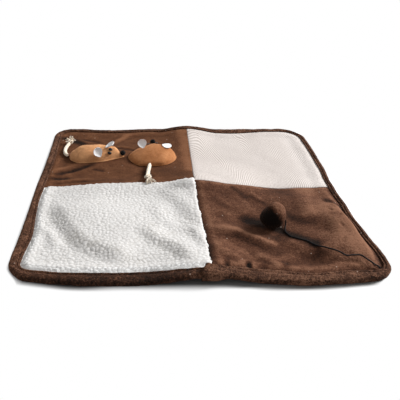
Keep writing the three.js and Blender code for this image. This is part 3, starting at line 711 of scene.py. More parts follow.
# Where an edge is drawn in: place along it, reach, amount, and a power of 1 if it is pointed.
PULLS = {
    "front": (
        (-250, 130, 18, 1), (-110, 90, -1), (-30, 80, 1), (9, 60, 3.6), (60, 80, 6.2),
        (140, 80, 2.8), (215, 80, 4.7), (250, 120, 10, 1),
    ),
    "back": ((-135, 75, 6),),
    "right": (
        (-205, 60, -4.5), (-130, 60, 1.5), (-97, 45, 2.6), (-60, 70, 2.8), (5, 70, 5),
        (150, 80, -1.4),
    ),
    "left": ((-120, 90, 1), (120, 100, 1.8)),
}

# Where the binding covers more of the panels, or less, in the same way.
WIDER = {
    "front": (
        (-190, 80, 3.9), (-110, 80, 6.2), (-50, 60, 4.6), (0, 50, 0.6), (75, 80, 8.3),
        (150, 80, 3.1), (205, 60, 3.5),
    ),
    "back": ((105, 80, 9),),
    "right": (),
    "left": ((-190, 80, 1.6), (-148, 60, 3.5), (-100, 70, 0.6), (-45, 60, -2)),
}
DRIFT = (16, -10, 0, 110, 130, -4.3)  # the bend of the middle seam to the left
INWARDS = {"front": (0, 1), "back": (0, -1), "right": (-1, 0), "left": (1, 0)}


def seen_along(x, y, c, s):
    """Distances along a direction and to the left of it."""
    return x * c + y * s, y * c - x * s


def from_line(x, y, x0, y0, x1, y1):
    """Distances along a line and to the left of it, and the line's length."""
    long = math.hypot(x1 - x0, y1 - y0)
    return (*seen_along(x - x0, y - y0, (x1 - x0) / long, (y1 - y0) / long), long)


def mounds(rows, x, y):
    height = np.zeros(np.broadcast(x, y).shape)
    for middle_x, middle_y, turn, long, wide, high in rows:
        turn = math.radians(turn)
        along, across = seen_along(x - middle_x, y - middle_y, math.cos(turn), math.sin(turn))
        height += high * np.maximum(0, 1 - (along / long) ** 2 - (across / wide) ** 2) ** 2
    return height


BLEND = 0.12  # how softly one stretch of a fold meets the next


def flanks(rows, x, y):
    """Folds with one steep side: height, width of the steep side, how far the fold falls away
    beyond it, and the line of the steep side, whose left hand is the high side."""
    height = np.zeros(np.shape(x))
    for high, wide, reach, *line in rows:
        passed = distances(line)
        gaps, sides, places = [], [], []
        for start, end, before in zip(line, line[1:], passed):
            along, across, long = from_line(x, y, *start, *end)
            within = np.clip(along, 0, long)
            gaps.append(np.hypot(across, along - within))
            sides.append(np.where(across < 0, -gaps[-1], gaps[-1]))
            places.append((before + within) / passed[-1])
        nearest = np.min(gaps, 0)
        weights = np.exp((nearest - gaps) / (BLEND * nearest + 0.1))
        side, along = (np.sum(weights * rows, 0) / np.sum(weights, 0) for rows in (gaps, places))
        first = np.argmin(gaps, 0)[None]
        side = side * np.sign(np.take_along_axis(np.array(sides), first, 0)[0] + 1e-9)
        fall = 1 - smooth(side / reach)
        height += high * smooth(side / wide + 0.5) * fall * tapered(along, into=3.5, out=4.5)
    return height


def rise(x, y):
    limit = HALF - STEADY
    return mounds(RISES, np.clip(x, -limit, limit), np.clip(y, -limit, limit))


def dent(places, at, reach, amount, power=2):
    return amount * np.maximum(0, 1 - (np.abs(places - at) / reach) ** power) ** 2


def pulled(x, y):
    """Plan positions after the mat's edges and its middle seam are drawn out of line."""
    dx, dy = mounds((DRIFT,), x, y), np.zeros(np.shape(y))
    for edge, (in_x, in_y) in INWARDS.items():
        inset = HALF + in_x * x + in_y * y
        drawn = smooth(1 - inset / (HALF - PULL_FROM))
        covered = smooth(inset / FLAP[edge]) * (1 - smooth((inset - FLAP[edge]) / PULL_FROM))
        for rows, share in ((PULLS, drawn), (WIDER, covered)):
            amount = sum(dent(y if in_x else x, *row) for row in rows[edge]) * share
            dx, dy = dx + in_x * amount, dy + in_y * amount
    return x + dx, y + dy


def plan(a, b):
    """Where a point of the square cloth lies, with its corners rounded and its edges drawn in."""
    x, y = a.copy(), b.copy()
    for (side_x, side_y), radius in RADIUS.items():
        dx, dy = a * side_x - (HALF - radius), b * side_y - (HALF - radius)
        corner = (dx > 0) & (dy > 0)
        shrink = np.maximum(dx, dy)[corner] / np.hypot(dx, dy)[corner]
        x[corner] = side_x * (HALF - radius + dx[corner] * shrink)
        y[corner] = side_y * (HALF - radius + dy[corner] * shrink)
    return pulled(x, y)


# ---- The four panels ----

EDGE = 4  # thickness of a panel at its edges

# Side of the mat, full thickness, and how far the cloth takes to round up to it.
PANELS = {
    "suede": dict(side=(-1, 1), full=4.4, from_edge=8, from_seam=8, flanks=()),
    "sisal": dict(side=(1, 1), full=4.8, from_edge=8, from_seam=8, flanks=()),
    "sherpa": dict(side=(-1, -1), full=10.2, from_edge=10, from_seam=4, flanks=SHERPA_FLANKS),
    "plush": dict(side=(1, -1), full=7, from_edge=14, from_seam=12, flanks=PLUSH_FLANKS),
}


def underside(a, b):
    inset = HALF - np.maximum(np.abs(a), np.abs(b))
    lifted = 1 - smooth((inset - SLOT_EDGE) / (SLOT_FOOT - SLOT_EDGE))
    return rise(*plan(a, b)) + SLOT_FLOOR * lifted


def edge_distances(panel, a, b):
    """Distances to the binding at the side and the front or back, and to the two seams."""
    side_x, side_y = panel["side"]
    flap_x = FLAP["left" if side_x < 0 else "right"]
    flap_y = FLAP["front" if side_y < 0 else "back"]
    return (
        HALF - np.abs(a) - flap_x - GAP, HALF - np.abs(b) - flap_y - GAP,
        np.abs(a - SEAM_X), np.abs(b - SEAM_Y),
    )


def panel_top(panel, a, b):
    x, y = plan(a, b)
    reaches = (panel["from_edge"],) * 2 + (panel["from_seam"],) * 2
    gaps = edge_distances(panel, a, b)
    share = np.prod([round_up(gap / reach) for gap, reach in zip(gaps, reaches)], axis=0)
    loft = panel["full"] - EDGE + mounds(FOLDS, x, y) + flanks(panel["flanks"], x, y)
    return underside(a, b) + EDGE + loft * share


def cloth_at(name, x, y):
    """Height of a panel's visible surface at plan positions away from its edges."""
    x, y = np.asarray(x, dtype=float), np.asarray(y, dtype=float)
    return panel_top(PANELS[name], x, y) + DETAILS[name][1](x, y)[0]


def laid_on(name, line, radius):
    """Turns a line's clearance over a panel's visible surface into height."""
    x, y = line[:, 0], line[:, 1]
    around = [cloth_at(name, x, y)] + [
        cloth_at(name, x + radius * math.cos(turn), y + radius * math.sin(turn))
        for turn in np.linspace(0, 2 * np.pi, 9)
    ]
    line = line.copy()
    line[:, 2] += np.max(around, axis=0) + radius
    return line


BOW = 0.06  # of a crease, as a share of its length


def creases(rows, x, y):
    """Narrow folds: ends of the line, half width and height, which is negative for a groove."""
    height = np.zeros(x.shape)
    for *ends, wide, high in rows:
        along, across, long = from_line(x, y, *ends)
        along = along / long
        across = (across - BOW * long * np.sin(along * np.pi)) / wide
        height += high * np.exp(-across ** 2) * tapered(along, into=3, out=3)
    return height


def patches(rows, x, y):
    """Soft patches along lines: the two ends, how far the patch reaches and its tone."""
    tones = np.zeros(x.shape)
    for *ends, reach, tone in rows:
        along, across, long = from_line(x, y, *ends)
        gap = np.hypot(along - np.clip(along, 0, long), across)
        tones += tone * np.maximum(0, 1 - (gap / reach) ** 2) ** 2
    return tones


# Where the cloth is darker or lighter: rows for patches(). On the plush they are partly the pile
# lying another way, partly painted shade on its slopes and in its creases, and painted light on its
# lit slopes.
PLUSH_NAP_AND_PAINTED_LIGHT = (
    (124, -128, 166, -168, 15, -0.55), (158, -176, 170, -192, 13, -0.25),
    (142, -88, 162, -112, 14, -0.3), (179, -112, 194, -142, 17, -0.12),
    (152, -20, 186, -52, 30, -0.2), (217, -50, 228, -68, 11, -0.4),
    (62, -146, 113, -183, 14, -0.16), (19, -15, 59, -34, 24, -0.16), (39, -53, 54, -72, 12, -0.18),
    (75, -18, 92, -44, 9, -0.28), (100, -40, 117, -58, 8, -0.26), (17, -137, 19, -218, 12, -0.26),
    (106, -146, 126, -156, 15, -0.2), (190, -22, 199, -85, 36, 0.26),
    (200, -135, 228, -182, 36, 0.28), (236, -160, 240, -215, 16, -0.12),
    # the row from (84, -98) is the painted shadow of the ball
    (178, -197, 226, -218, 16, 0.1), (84, -98, 122, -114, 19, -0.5),
    (85, -208, 86, -207, 14, -0.22), (114, -209, 115, -208, 12, -0.24),
    (39, -207, 37, -222, 6, -0.18), (68, -210, 66, -226, 6, -0.38), (28, -126, 64, -132, 8, 0.16),
    (64, -132, 112, -164, 7, 0.2), (44, -160, 84, -206, 9, 0.14),
)
# On the suede: painted shadows round the knot of mouse 1's tail and beside mouse 2's tail, painted
# shade in its grooves, painted light on its ridges, a lighter band by the middle seam and other
# darker patches.
SUEDE_TONE_AND_PAINTED_LIGHT = (
    (6, 236, 10, 60, 15, 0.28), (-207, 196, -187, 177, 15, -0.5), (-228, 205, -227, 204, 12, -0.5),
    (-191, 201, -158, 189, 7, -0.3), (-127, 190, -101, 222, 9, 0.28),
    (-128, 163, -87, 152, 5, -0.42), (-161, 94, -223, 50, 9, -0.34),
    (-180, 106, -229, 64, 8, 0.18), (-227, 34, -203, 34, 11, -0.36), (-158, 73, -143, 66, 7, -0.3),
    (-37, 62, 4, 35, 30, -0.14), (-66, 58, -62, 34, 11, -0.4), (-110, 20, -170, 20, 12, -0.16),
)

# Painted shade along the steep sides of the sherpa's folds.
SHERPA_PAINTED_SHADE = (
    (-214, -84, -170, -152, 20, 0.12), (-170, -152, -78, -206, 20, 0.16),
    (-62, -128, -24, -196, 26, 0.14),
)
# Where the front of the binding is darker, towards its left.
BINDING_DARKER_LEFT = ((-225, -246, -20, -238, 36, -0.2),)

# Rows for creases().
SUEDE_CREASES = (
    (-196, 203, -153, 188, 4.5, -1.8), (-194, 214, -154, 208, 6, 1.4),
    (-203, 202, -176, 178, 5, 1.3), (-129, 188, -100, 224, 7, 1.4), (-118, 182, -88, 214, 6, -0.9),
    (-130, 165, -84, 152, 3.5, -1.8), (-132, 171, -84, 160, 4, 0.9), (-158, 98, -226, 50, 5, -2.2),
    (-172, 110, -232, 62, 7, 1.8), (-232, 36, -196, 34, 8, -1.6), (-162, 76, -138, 64, 5, -1.2),
    (-234, 22, -150, 26, 5, 1.8), (-234, 12, -150, 17, 4, -1.4), (-150, 205, -60, 228, 6, 1),
    (-25, 60, 6, 130, 7, 0.8), (-190, 40, -110, 60, 7, 0.9),
)

PLUSH_CREASES = (
    (39, -236, 37, -206, 4, -1.8), (68, -236, 66, -206, 3.6, -2.6), (53, -236, 53, -208, 6, 1),
    (85, -236, 86, -208, 6, -1.2), (99, -234, 100, -212, 6, 0.8), (114, -234, 116, -210, 5, -1),
    (130, -233, 140, -212, 5, -0.6), (90, -20, 118, -58, 6, 1), (205, -52, 232, -70, 6, -1.4),
    (196, -214, 212, -218, 3, 0.8),
)


def suede_detail(x, y):
    rough = layered(flat(x, y), (34, 3, 0.7), (12, 4, 0.3))
    return creases(SUEDE_CREASES, x, y) * 0.7 + rough, {"nap": patches(SUEDE_TONE_AND_PAINTED_LIGHT, x, y)}


def sisal_detail(x, y):
    rough = layered(flat(x, y), (48, 5, 0.5), (17, 6, 0.12))
    # Painted light towards the right edge, where the cloth slopes down to the binding.
    return rough, {"nap": smooth((x - 190) / 30) * 0.1}


DENT_FROM, DENT_DEPTH = 0.35, 3.2  # level of the noise at which a dent begins, and its depth


def plush_detail(x, y):
    """Soft lumps and creases, and small dents towards the front of the right edge."""
    rough = layered(flat(x, y), (36, 7, 0.9), (13, 8, 0.4), (4, 9, 0.18))
    dents = np.maximum(0, noise(flat(x * 1.6, y), 9, 10) - DENT_FROM) * -DENT_DEPTH
    near = smooth((x - 195) / 20) * smooth((-60 - y) / 25)
    height = creases(PLUSH_CREASES, x, y) + rough + dents * near
    return height, {"nap": patches(PLUSH_NAP_AND_PAINTED_LIGHT, x, y)}


TUFT = 6  # distance of the tufts of the pile
WANDER = 1.6  # how far they stray from even rows
SINK = 1.5  # how far the pile lies under its full thickness


def sherpa_detail(x, y):
    """Curled pile in round tufts, with painted shade that is 1 deep in the hollows between them."""
    u, v = (at + noise(flat(x, y), 11, seed) * WANDER for at, seed in ((x, 11), (y, 12)))
    near, following = pebbles(u, v, TUFT, 13)
    edge = smooth((following - near) / 0.42)
    dome = np.sqrt(np.clip(1 - (near / 0.98) ** 2, 0, 1)) * (0.6 + 0.4 * edge)
    swell = 0.75 + 0.5 * noise(flat(x, y), 24, 15)
    tufts = (dome - 0.65) * 1.1 * swell + noise(flat(x, y), 2.4, 14) * 0.35
    return tufts - SINK, {"crevice": 1 - edge}


def box_mean(values, reach):
    """The mean of a grid's values over a square around each."""
    span = 2 * reach + 1
    for axis in (0, 1):
        margin = [(reach + 1, reach) if k == axis else (0, 0) for k in (0, 1)]
        sums = np.cumsum(np.pad(values, margin, "edge"), axis=axis)
        count = sums.shape[axis]
        values = (
            np.take(sums, range(span, count), axis) - np.take(sums, range(count - span), axis)
        ) / span
    return values


CREST_REACH, CREST_HEIGHT = 9, 2.4


def crest(height, cell):
    """How far cloth stands over its surroundings: painted light where it stands up and painted
    shade in its hollows.
    """
    around = box_mean(height, max(1, round(CREST_REACH / cell)))
    return np.clip((height - around) / CREST_HEIGHT, -0.5, 0.5)


# The cell of a panel's grid in millimetres, and what gives its small relief and its tones.
DETAILS = {
    "suede": (2, suede_detail), "sisal": (2, sisal_detail),
    "sherpa": (1.05, sherpa_detail), "plush": (1.5, plush_detail),
}
RATIO = 2  # upper cells to one of the lower surface


def panel_lines(side, seam, cell):
    """Evenly spaced grid lines from the seam to the cut edge, in rising order."""
    start, end = seam + side * SEAM_GAP / 2, side * (HALF - TUCK)
    cells = RATIO * round(abs(end - start) / cell / RATIO)
    return np.sort(np.linspace(start, end, cells + 1))


def window(distance, low, middle, high):
    """Rises from 0 at low to 1 at middle and falls to 0 at high."""
    fall = smooth((distance - middle) / (high - middle))
    return smooth((distance - low) / (middle - low)) * (1 - fall)


# Where the sherpa's fringe begins, is longest and ends, beside a seam and beside the binding.
SEAM_FRINGE, EDGE_FRINGE = (0.1, 1.3, 6), (0.3, 2, 8)


def overhang(seam, edge, over_seam, over_edge):
    return over_seam * window(seam, *SEAM_FRINGE) + over_edge * window(edge, *EDGE_FRINGE)


def add_panel(name):
    panel = PANELS[name]
    cell, detail = DETAILS[name]
    side_x, side_y = panel["side"]
    a, b = np.meshgrid(panel_lines(side_x, SEAM_X, cell), panel_lines(side_y, SEAM_Y, cell))
    x, y = plan(a, b)
    side, end, seam_x, seam_y = edge_distances(panel, a, b)
    inner = np.minimum(np.minimum(side, end), np.minimum(seam_x, seam_y))
    top = panel_top(panel, a, b)
    if name == "sherpa":
        fallen = np.clip(underside(a, b) + panel["full"] - top, 0, 7)
        height, shades = detail(
            x + np.where(side < seam_x, side_x, -side_x) * fallen,
            y + np.where(end < seam_y, side_y, -side_y) * fallen,
        )
        # Painted shade along the folds, and painted light on the cloth sloping down to the binding
        # at the side and front.
        painted_edge_light = 1 - smooth((np.minimum(side, end) - 3) / 8)
        shades["nap"] = patches(SHERPA_PAINTED_SHADE, x, y) - 0.5 * painted_edge_light
        fringe = np.clip(noise(flat(x, y), 3.4, 16) + 0.35, 0, 1)
        x = x + fringe * overhang(seam_x, side, 2.4, -1.6)
        y = y + fringe * overhang(seam_y, end, 3, -0.6)
    else:
        height, shades = detail(x, y)
    height = height * smooth((inner + 1) / 3)
    shades["crest"] = crest(top + height, cell)
    upper = np.stack([x, y, top + height], -1)
    coarse = a[::RATIO, ::RATIO], b[::RATIO, ::RATIO]
    lower = np.stack([*plan(*coarse), underside(*coarse)], -1)
    points, faces = closed_sheet(upper, lower)
    hidden = np.zeros(len(points) - a.size)
    shades = {label: np.concatenate([tone.ravel(), hidden]) for label, tone in shades.items()}
    piece = add_piece(f"{name}_cloth", name, f"{name}_panel", points, faces, shades=shades)
    width = HALF - TUCK - side_x * SEAM_X
    width * MM


# ---- The edge binding ----

# The visible section from its lower inner edge round the outer fold to its upper inner edge:
# inset in millimetres, inset as a share of the flap, height, and how the lap grows it.
ROLL = (
    (0, 1, 0, 0, -2.5), (0, 0.6, 0, -1.4, -2.5), (3.4, 0, 0.1, -2.8, -2.5),
    (1.1, 0, 0.9, -3.3, -1.9), (0, 0, 2.9, -3.6, -1), (0, 0, 5.2, -3.6, 0.4),
    (0.7, 0, 7.2, -3.6, 1.2), (2.2, 0, 8.7, -3.1, 2.2), (4.4, 0, 9.5, -2.4, 2.8),
    (2, 0.36, 9.5, -1, 2.8), (0, 0.66, 8.5, 0, 2.8), (0, 0.72, 7.7, 0, 2.8),
    (0, 0.79, 8.5, 0, 2.8), (0, 0.92, 8.6, 0, 2.8), (0, 1, 7.9, 0, 2.8), (0, 1, 6.8, 0, 2.8),
)
# The same for the slot that holds the edges of the panels.
SLOT = ((3.2, 0, 6.8, -3.6, 2.8), (3.2, 0, 2.05, -3.6, -2.5), (0, 1, 2.05, 0, -2.5))
# The upper end of the strip climbs over the lower from foot to climb and is cut on the slant; the
# two ends lie at end and start along the front edge, and the last stations curl up.
LAP = dict(start=16, end=2, climb=20, foot=38, curl=3.6, slant=6, stations=8)
PUCKER = (-34, -8, 10)  # where the binding is gathered before the lap
STATION = 2.4  # distance of sections along the binding
ROLL_STEPS = 2  # points to each row of ROLL
ROLL_MIDDLE, ROLL_HALF = 4.6, 4.8  # height of its middle, and half of its own height
GATHER = 1.3  # height of the gathers of the pucker
# Going round the mat: the corners, and the edges before and after each.
ROUND = (
    (-1, -1, "front", "left"), (-1, 1, "left", "back"),
    (1, 1, "back", "right"), (1, -1, "right", "front"),
)
SEEN_FROM, SEEN_TO = 3, 2  # points at the ends of the roll that stay hidden


def binding_stations():
    """Rows of x, y, inward x and y, flap and wrap, from one end of the lap round to the other."""
    rows = []

    def straight(start, end, edge, wraps=False):
        count = max(2, round(math.dist(start, end) / STATION) + 1)
        for t in np.linspace(0, 1, count):
            x, y = (a + (b - a) * t for a, b in zip(start, end))
            wrap = smooth((LAP["foot"] - x) / (LAP["foot"] - LAP["climb"])) if wraps else 0
            rows.append((x, y, *INWARDS[edge], FLAP[edge], float(wrap)))

    start = (LAP["start"], -HALF)
    for side_x, side_y, edge, following in ROUND:
        radius = RADIUS[side_x, side_y]
        middle_x, middle_y = side_x * (HALF - radius), side_y * (HALF - radius)
        (in_x, in_y), (then_x, then_y) = INWARDS[edge], INWARDS[following]
        straight(start, (middle_x - radius * in_x, middle_y - radius * in_y), edge)
        count = round(radius * np.pi / 2 / STATION)
        for t in np.arange(1, count) / count:
            angle = math.atan2(-in_y, -in_x) - t * math.pi / 2
            c, s = math.cos(angle), math.sin(angle)
            flap = FLAP[edge] + (FLAP[following] - FLAP[edge]) * t
            rows.append((middle_x + radius * c, middle_y + radius * s, -c, -s, flap, 0.0))
        start = (middle_x - radius * then_x, middle_y - radius * then_y)
    straight(start, (LAP["end"], -HALF), "front", wraps=True)
    return np.array(rows)


def add_binding():
    stations = binding_stations()
    roll = through(ROLL, np.linspace(0, len(ROLL) - 1, (len(ROLL) - 1) * ROLL_STEPS + 1))
    section = np.concatenate([roll, SLOT])
    x0, y0, in_x, in_y, flap, wrap = (column[:, None] for column in stations.T)
    fixed, share, z, wrap_in, wrap_up = section.T[:, None, :]
    inset = fixed + share * flap + wrap_in * wrap
    across = np.clip(inset / flap, 0, 1)
    z = np.broadcast_to(z, inset.shape)
    lap = np.zeros((len(stations), 1))
    lap[-LAP["stations"]:, 0] = smooth(np.arange(1, LAP["stations"] + 1) / LAP["stations"])
    slant = lap * (LAP["slant"] * across + noise(flat(inset, z), 5, 25))
    x, y = pulled(x0 + in_x * inset + slant, y0 + in_y * inset)
    curl = np.where(z > SLOT_FLOOR * 2, lap * LAP["curl"] * across, 0)
    points = np.stack([x, y, rise(x, y) + z + wrap_up * wrap + curl], -1)

    visible = np.zeros(len(section))
    visible[SEEN_FROM:len(roll) - SEEN_TO] = 1
    out = np.stack(np.broadcast_arrays(-in_x, -in_y, 0 * z), -1)
    lean = np.clip((z - ROLL_MIDDLE) / ROLL_HALF, -1, 1)[..., None]
    out = out * (1 - np.abs(lean)) + np.array([0, 0, 1]) * lean
    swell = layered(points, (24, 21, 0.55), (9, 22, 0.45), (3.2, 23, 0.3))
    gathered = window(points[..., 0], *PUCKER) * (points[..., 1] < 0)
    swell = swell + noise(points, 5, 24) * GATHER * gathered
    points = points + out * (swell * visible)[..., None]

    # Painted light on the bulges of the roll and painted shade in its hollows; the front is also
    # darker towards its left.
    tone = np.clip(swell * 0.5, -0.5, 0.5) * visible
    nap = patches(BINDING_DARKER_LEFT, points[..., 0], points[..., 1])
    piece = add_piece(
        "plush_binding", "binding", "edge_binding", points.reshape(-1, 3),
        sleeve(len(stations), len(section)), shades={"crest": tone.ravel(), "nap": nap.ravel()},
    )


# ---- The felt mice ----

ROUNDED_END = 0.035  # share of the length over which an end closes
FELT = 1.2  # thickness of the felt
RIM = 1.5  # the sewn felt edge round a body
# Share of an ear's length, and of its half width.
EAR_SECTIONS = (
    (0, 0.16), (0.18, 0.55), (0.4, 0.9), (0.62, 1), (0.84, 0.8), (0.95, 0.5), (1, 0.2),
)
EAR_WIDE = 17
EAR_THICK = 1.2
EAR_STAND = 0.7  # of the root, over the body
EAR_TIP = 1.2  # how far the tip curls forwards
EAR_ROWS, EAR_COLUMNS = 27, 21

# A body's sections run from its rear to its snout: share of the length, of the half width and of
# the height. Skew leans the arch to the right. An eye has its share of the length, its angle round
# the arch and its turn. An ear has the same share and angle, its length, how deeply it is cupped,
# where it points and where it faces.
MICE = {
    "mouse_1": dict(
        # The lightening of this body's felt is painted light on its shaded side.
        rear=(-208.5, 119), heading=2.7, long=101, half=25, high=21.5, skew=0, painted_body_light=0.3,
        sections=(
            (0, 0.25, 0.28), (0.047, 0.5, 0.46), (0.103, 0.72, 0.62), (0.187, 0.94, 0.83),
            (0.3, 0.96, 0.96), (0.43, 0.88, 1.02), (0.58, 0.8, 1.02), (0.69, 0.65, 0.97),
            (0.786, 0.46, 0.91), (0.85, 0.34, 0.82), (0.896, 0.27, 0.56), (0.925, 0.23, 0.33),
            (0.965, 0.17, 0.26), (1, 0.08, 0.14),
        ),
        eyes={"eye_right": (0.733, 145, 15), "eye_left": (0.754, 124, 15)},
        ears={
            "ear_right": (0.576, 157, 19, 2.4, (-0.45, 0, 0.88), (0.25, -0.85, 0.45)),
            "ear_left": (0.673, 112, 18.5, 3, (0.82, 0.37, 0.42), (-0.35, 0.05, 0.93)),
        },
    ),
    "mouse_2": dict(
        rear=(-56, 80.5), heading=88.4, long=86.5, half=43.2, high=17.5, skew=0.16, painted_body_light=0,
        sections=(
            (0, 0.22, 0.2), (0.05, 0.5, 0.4), (0.1, 0.64, 0.53), (0.16, 0.75, 0.66),
            (0.24, 0.86, 0.8), (0.36, 0.96, 0.93), (0.5, 1, 1), (0.64, 0.86, 0.97),
            (0.78, 0.61, 0.75), (0.9, 0.37, 0.52), (1, 0.14, 0.45),
        ),
        eyes={"eye_right": (0.765, 105, 0), "eye_left": (0.765, 75, 0)},
        ears={
            "ear_right": (0.6, 117, 17.5, 1, (0.9, -0.3, -0.1), (0.35, -0.15, 0.9)),
            "ear_left": (0.53, 67, 16.5, 2.4, (-0.25, 0.3, 0.85), (0.1, -0.8, 0.55)),
        },
    ),
}

# Puckers of the felt: creases in the plane of the mat.
FELT_CREASES = (
    (-197, 104, -178, 116, 3, -1.1), (-146, 103, -150, 122, 2.6, -0.9),
    (-190, 126, -165, 128, 4, 0.6), (-76, 96, -60, 112, 4, -0.7), (-40, 92, -52, 108, 4, -0.6),
)


def body_point(mouse, share, angle, on_arch=True):
    """A point of a body: share of its length and angle round the arch, 0 on the left."""
    section = smooth_table(mouse["sections"], share)
    end = round_up(share / ROUNDED_END) * round_up((1.01 - share) / 0.1)
    wide, high = section[..., 0] * end, section[..., 1] * end
    on = np.clip(angle, 0, 180)
    turn = np.radians(on)
    left = wide * mouse["half"] * np.cos(turn) - np.sign(angle - on) * RIM
    heading = math.radians(mouse["heading"])
    c, s = math.cos(heading), math.sin(heading)
    x = mouse["rear"][0] + share * mouse["long"] * c - left * s
    y = mouse["rear"][1] + share * mouse["long"] * s + left * c
    base = panel_top(PANELS["suede"], x, y) + GAP
    arch = FELT + high * mouse["high"] * (np.sin(turn) - mouse["skew"] * np.sin(2 * turn))
    return np.stack([x, y, base + arch * on_arch], -1)


def one_body_point(mouse, share, angle):
    return body_point(mouse, np.array([float(share)]), np.array([float(angle)]))[0]


def body_normal(mouse, share, angle):
    ahead = one_body_point(mouse, share + 0.02, angle) - one_body_point(mouse, share - 0.02, angle)
    round_it = one_body_point(mouse, share, angle + 4) - one_body_point(mouse, share, angle - 4)
    normal = unit(np.cross(round_it, ahead))
    return -normal if normal[2] < 0 else normal


def add_body(name, mouse):
    shares = np.concatenate([
        np.linspace(0.001, 0.06, 12)[:-1], np.linspace(0.06, 0.96, 72)[:-1],
        np.linspace(0.96, 1, 7),
    ])
    angles = np.concatenate([[181], np.linspace(180, 0, 61), [-1]])
    share, angle = np.meshgrid(shares, angles)
    upper = body_point(mouse, share, angle)
    lower = body_point(mouse, share, angle, on_arch=False)
    inner = np.sin(np.radians(np.clip(angle, 0, 180)))
    fold = creases(FELT_CREASES, upper[..., 0], upper[..., 1])
    lumps = layered(upper, (15, 31, 0.7), (5, 32, 0.3), (2, 33, 0.12))
    upper[..., 2] += (fold + lumps) * smooth(inner * 3) * tapered(share, into=8, out=8)
    rim = noise(lower, 3, 34) * 0.5 * (inner == 0)
    for grid in (upper, lower):
        grid[..., :2] += rim[..., None]
    points, faces = closed_sheet(upper, lower)
    # Painted light: an even lightening of the felt of a body whose side lies in shade.
    shades = {"nap": np.full(len(points), mouse["painted_body_light"])}
    piece = add_piece(
        f"{name}_felt_body", "felt", f"{name}_body", points, faces, shades=shades
    )


def add_ear(name, mouse, label, share, angle, long, cup, to, face):
    to = unit(to)
    side = unit(np.cross(to, unit(face)))
    face = np.cross(side, to)
    steps = through(EAR_SECTIONS, np.linspace(0, len(EAR_SECTIONS) - 1, EAR_ROWS))
    column, row = np.meshgrid(np.linspace(-1, 1, EAR_COLUMNS), np.arange(EAR_ROWS))
    at, half = steps[row, 0], steps[row, 1]
    x, y = column * half * EAR_WIDE / 2, at * long
    curl = cup * (column ** 2 - 1) * half + EAR_TIP * at ** 3
    curl = curl + noise(np.stack([x, y, 0 * x + angle], -1), 6, 35) * 0.35 * at
    grids = [np.stack([x, y, lift + curl], -1) for lift in (EAR_THICK, 0)]
    stand = body_normal(mouse, share, angle) * EAR_STAND + face * cup * EAR_SECTIONS[0][1]
    points, faces = closed_sheet(*grids)
    points = points @ np.array([side, to, face]) + one_body_point(mouse, share, angle) + stand
    piece = add_piece(f"{name}_felt_{label}", "white_felt", f"{name}_{label}", points, faces)
    flat_size = (EAR_WIDE * MM, long * MM)
    0.72 * flat_size[0] * flat_size[1]


def middle(node):
    """The middle of a CAD node's box, in millimetres."""
    low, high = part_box(node)
    return (np.array(low) + np.array(high)) / 2 / MM


EYE_SIZE = (3.9, 2.8, 1.2)  # half the length, width and height of a whole bead
EYE_CUT, EYE_BEVEL = 0.55, 0.12  # how far below the middle it is cut, and the bevel, as shares


def add_eye(name, mouse, label, at, angle, turn):
    """A flat-backed oval bead: a sphere cut at the back, its edge bevelled."""
    normal = body_normal(mouse, at, angle)
    heading = math.radians(mouse["heading"] - turn)
    side = unit(np.cross(normal, (math.cos(heading), math.sin(heading), 0)))
    ahead = np.cross(side, normal)
    bpy.ops.object.select_all(action="DESELECT")
    bpy.ops.mesh.primitive_uv_sphere_add(segments=28, ring_count=16, radius=1)
    bead = bpy.context.object
    bead.name = f"{name}_bead_{label}"
    bpy.ops.object.mode_set(mode="EDIT")
    bpy.ops.mesh.select_all(action="SELECT")
    bpy.ops.mesh.bisect(
        plane_co=(0, 0, -EYE_CUT), plane_no=(0, 0, 1), use_fill=True, clear_inner=True
    )
    bpy.ops.mesh.bevel(offset=EYE_BEVEL, segments=2)
    bpy.ops.mesh.select_all(action="SELECT")
    bpy.ops.transform.resize(
        value=tuple(size * MM for size in EYE_SIZE), center_override=(0, 0, 0)
    )
    bpy.ops.object.mode_set(mode="OBJECT")
    bpy.ops.object.shade_smooth_by_angle(angle=math.radians(40))
    place = Matrix([ahead, side, normal]).transposed().to_4x4()
    place.translation = middle(f"{name}_{label}") * MM
    bead.data.transform(place)
    dress(bead, "eye", f"{name}_{label}")


JITTER = 0.06  # of the yarns of a pompom


def scattered_directions(count, seed):
    """Unit vectors spread evenly over a ball, a little jittered."""
    rng = np.random.default_rng(seed)
    k = np.arange(count) + 0.5
    z = 1 - 2 * k / count
    turn = np.pi * (1 + 5 ** 0.5) * k
    ring = np.sqrt(1 - z ** 2)
    vectors = np.stack([ring * np.cos(turn), ring * np.sin(turn), z], -1)
    return unit(vectors + rng.normal(0, JITTER, vectors.shape))


ROOTED = 0.4  # how far a fibre starts inside its ball


def hairs(roots, directions, length, radius, droop, seed):
    """Parts of a mesh: short three-sided fibres, each bent once."""
    rng = np.random.default_rng(seed)
    fibres = []
    for root, direction in zip(roots, directions):
        side = beside(direction)
        up = np.cross(direction, side)
        reach = length * rng.uniform(0.7, 1.15)
        bend = side * rng.normal(0, droop) + up * rng.normal(0, droop)
        stations = (
            (root - direction * ROOTED, radius), (root + direction * reach * 0.55, radius * 0.9),
            (root + direction * reach + bend * reach, radius * 0.35),
        )
        points = [
            place + wide * (math.cos(turn) * side + math.sin(turn) * up)
            for place, wide in stations for turn in (0, 2.094, 4.189)
        ]
        fibres.append((points, sleeve(3, 3)))
    return fibres


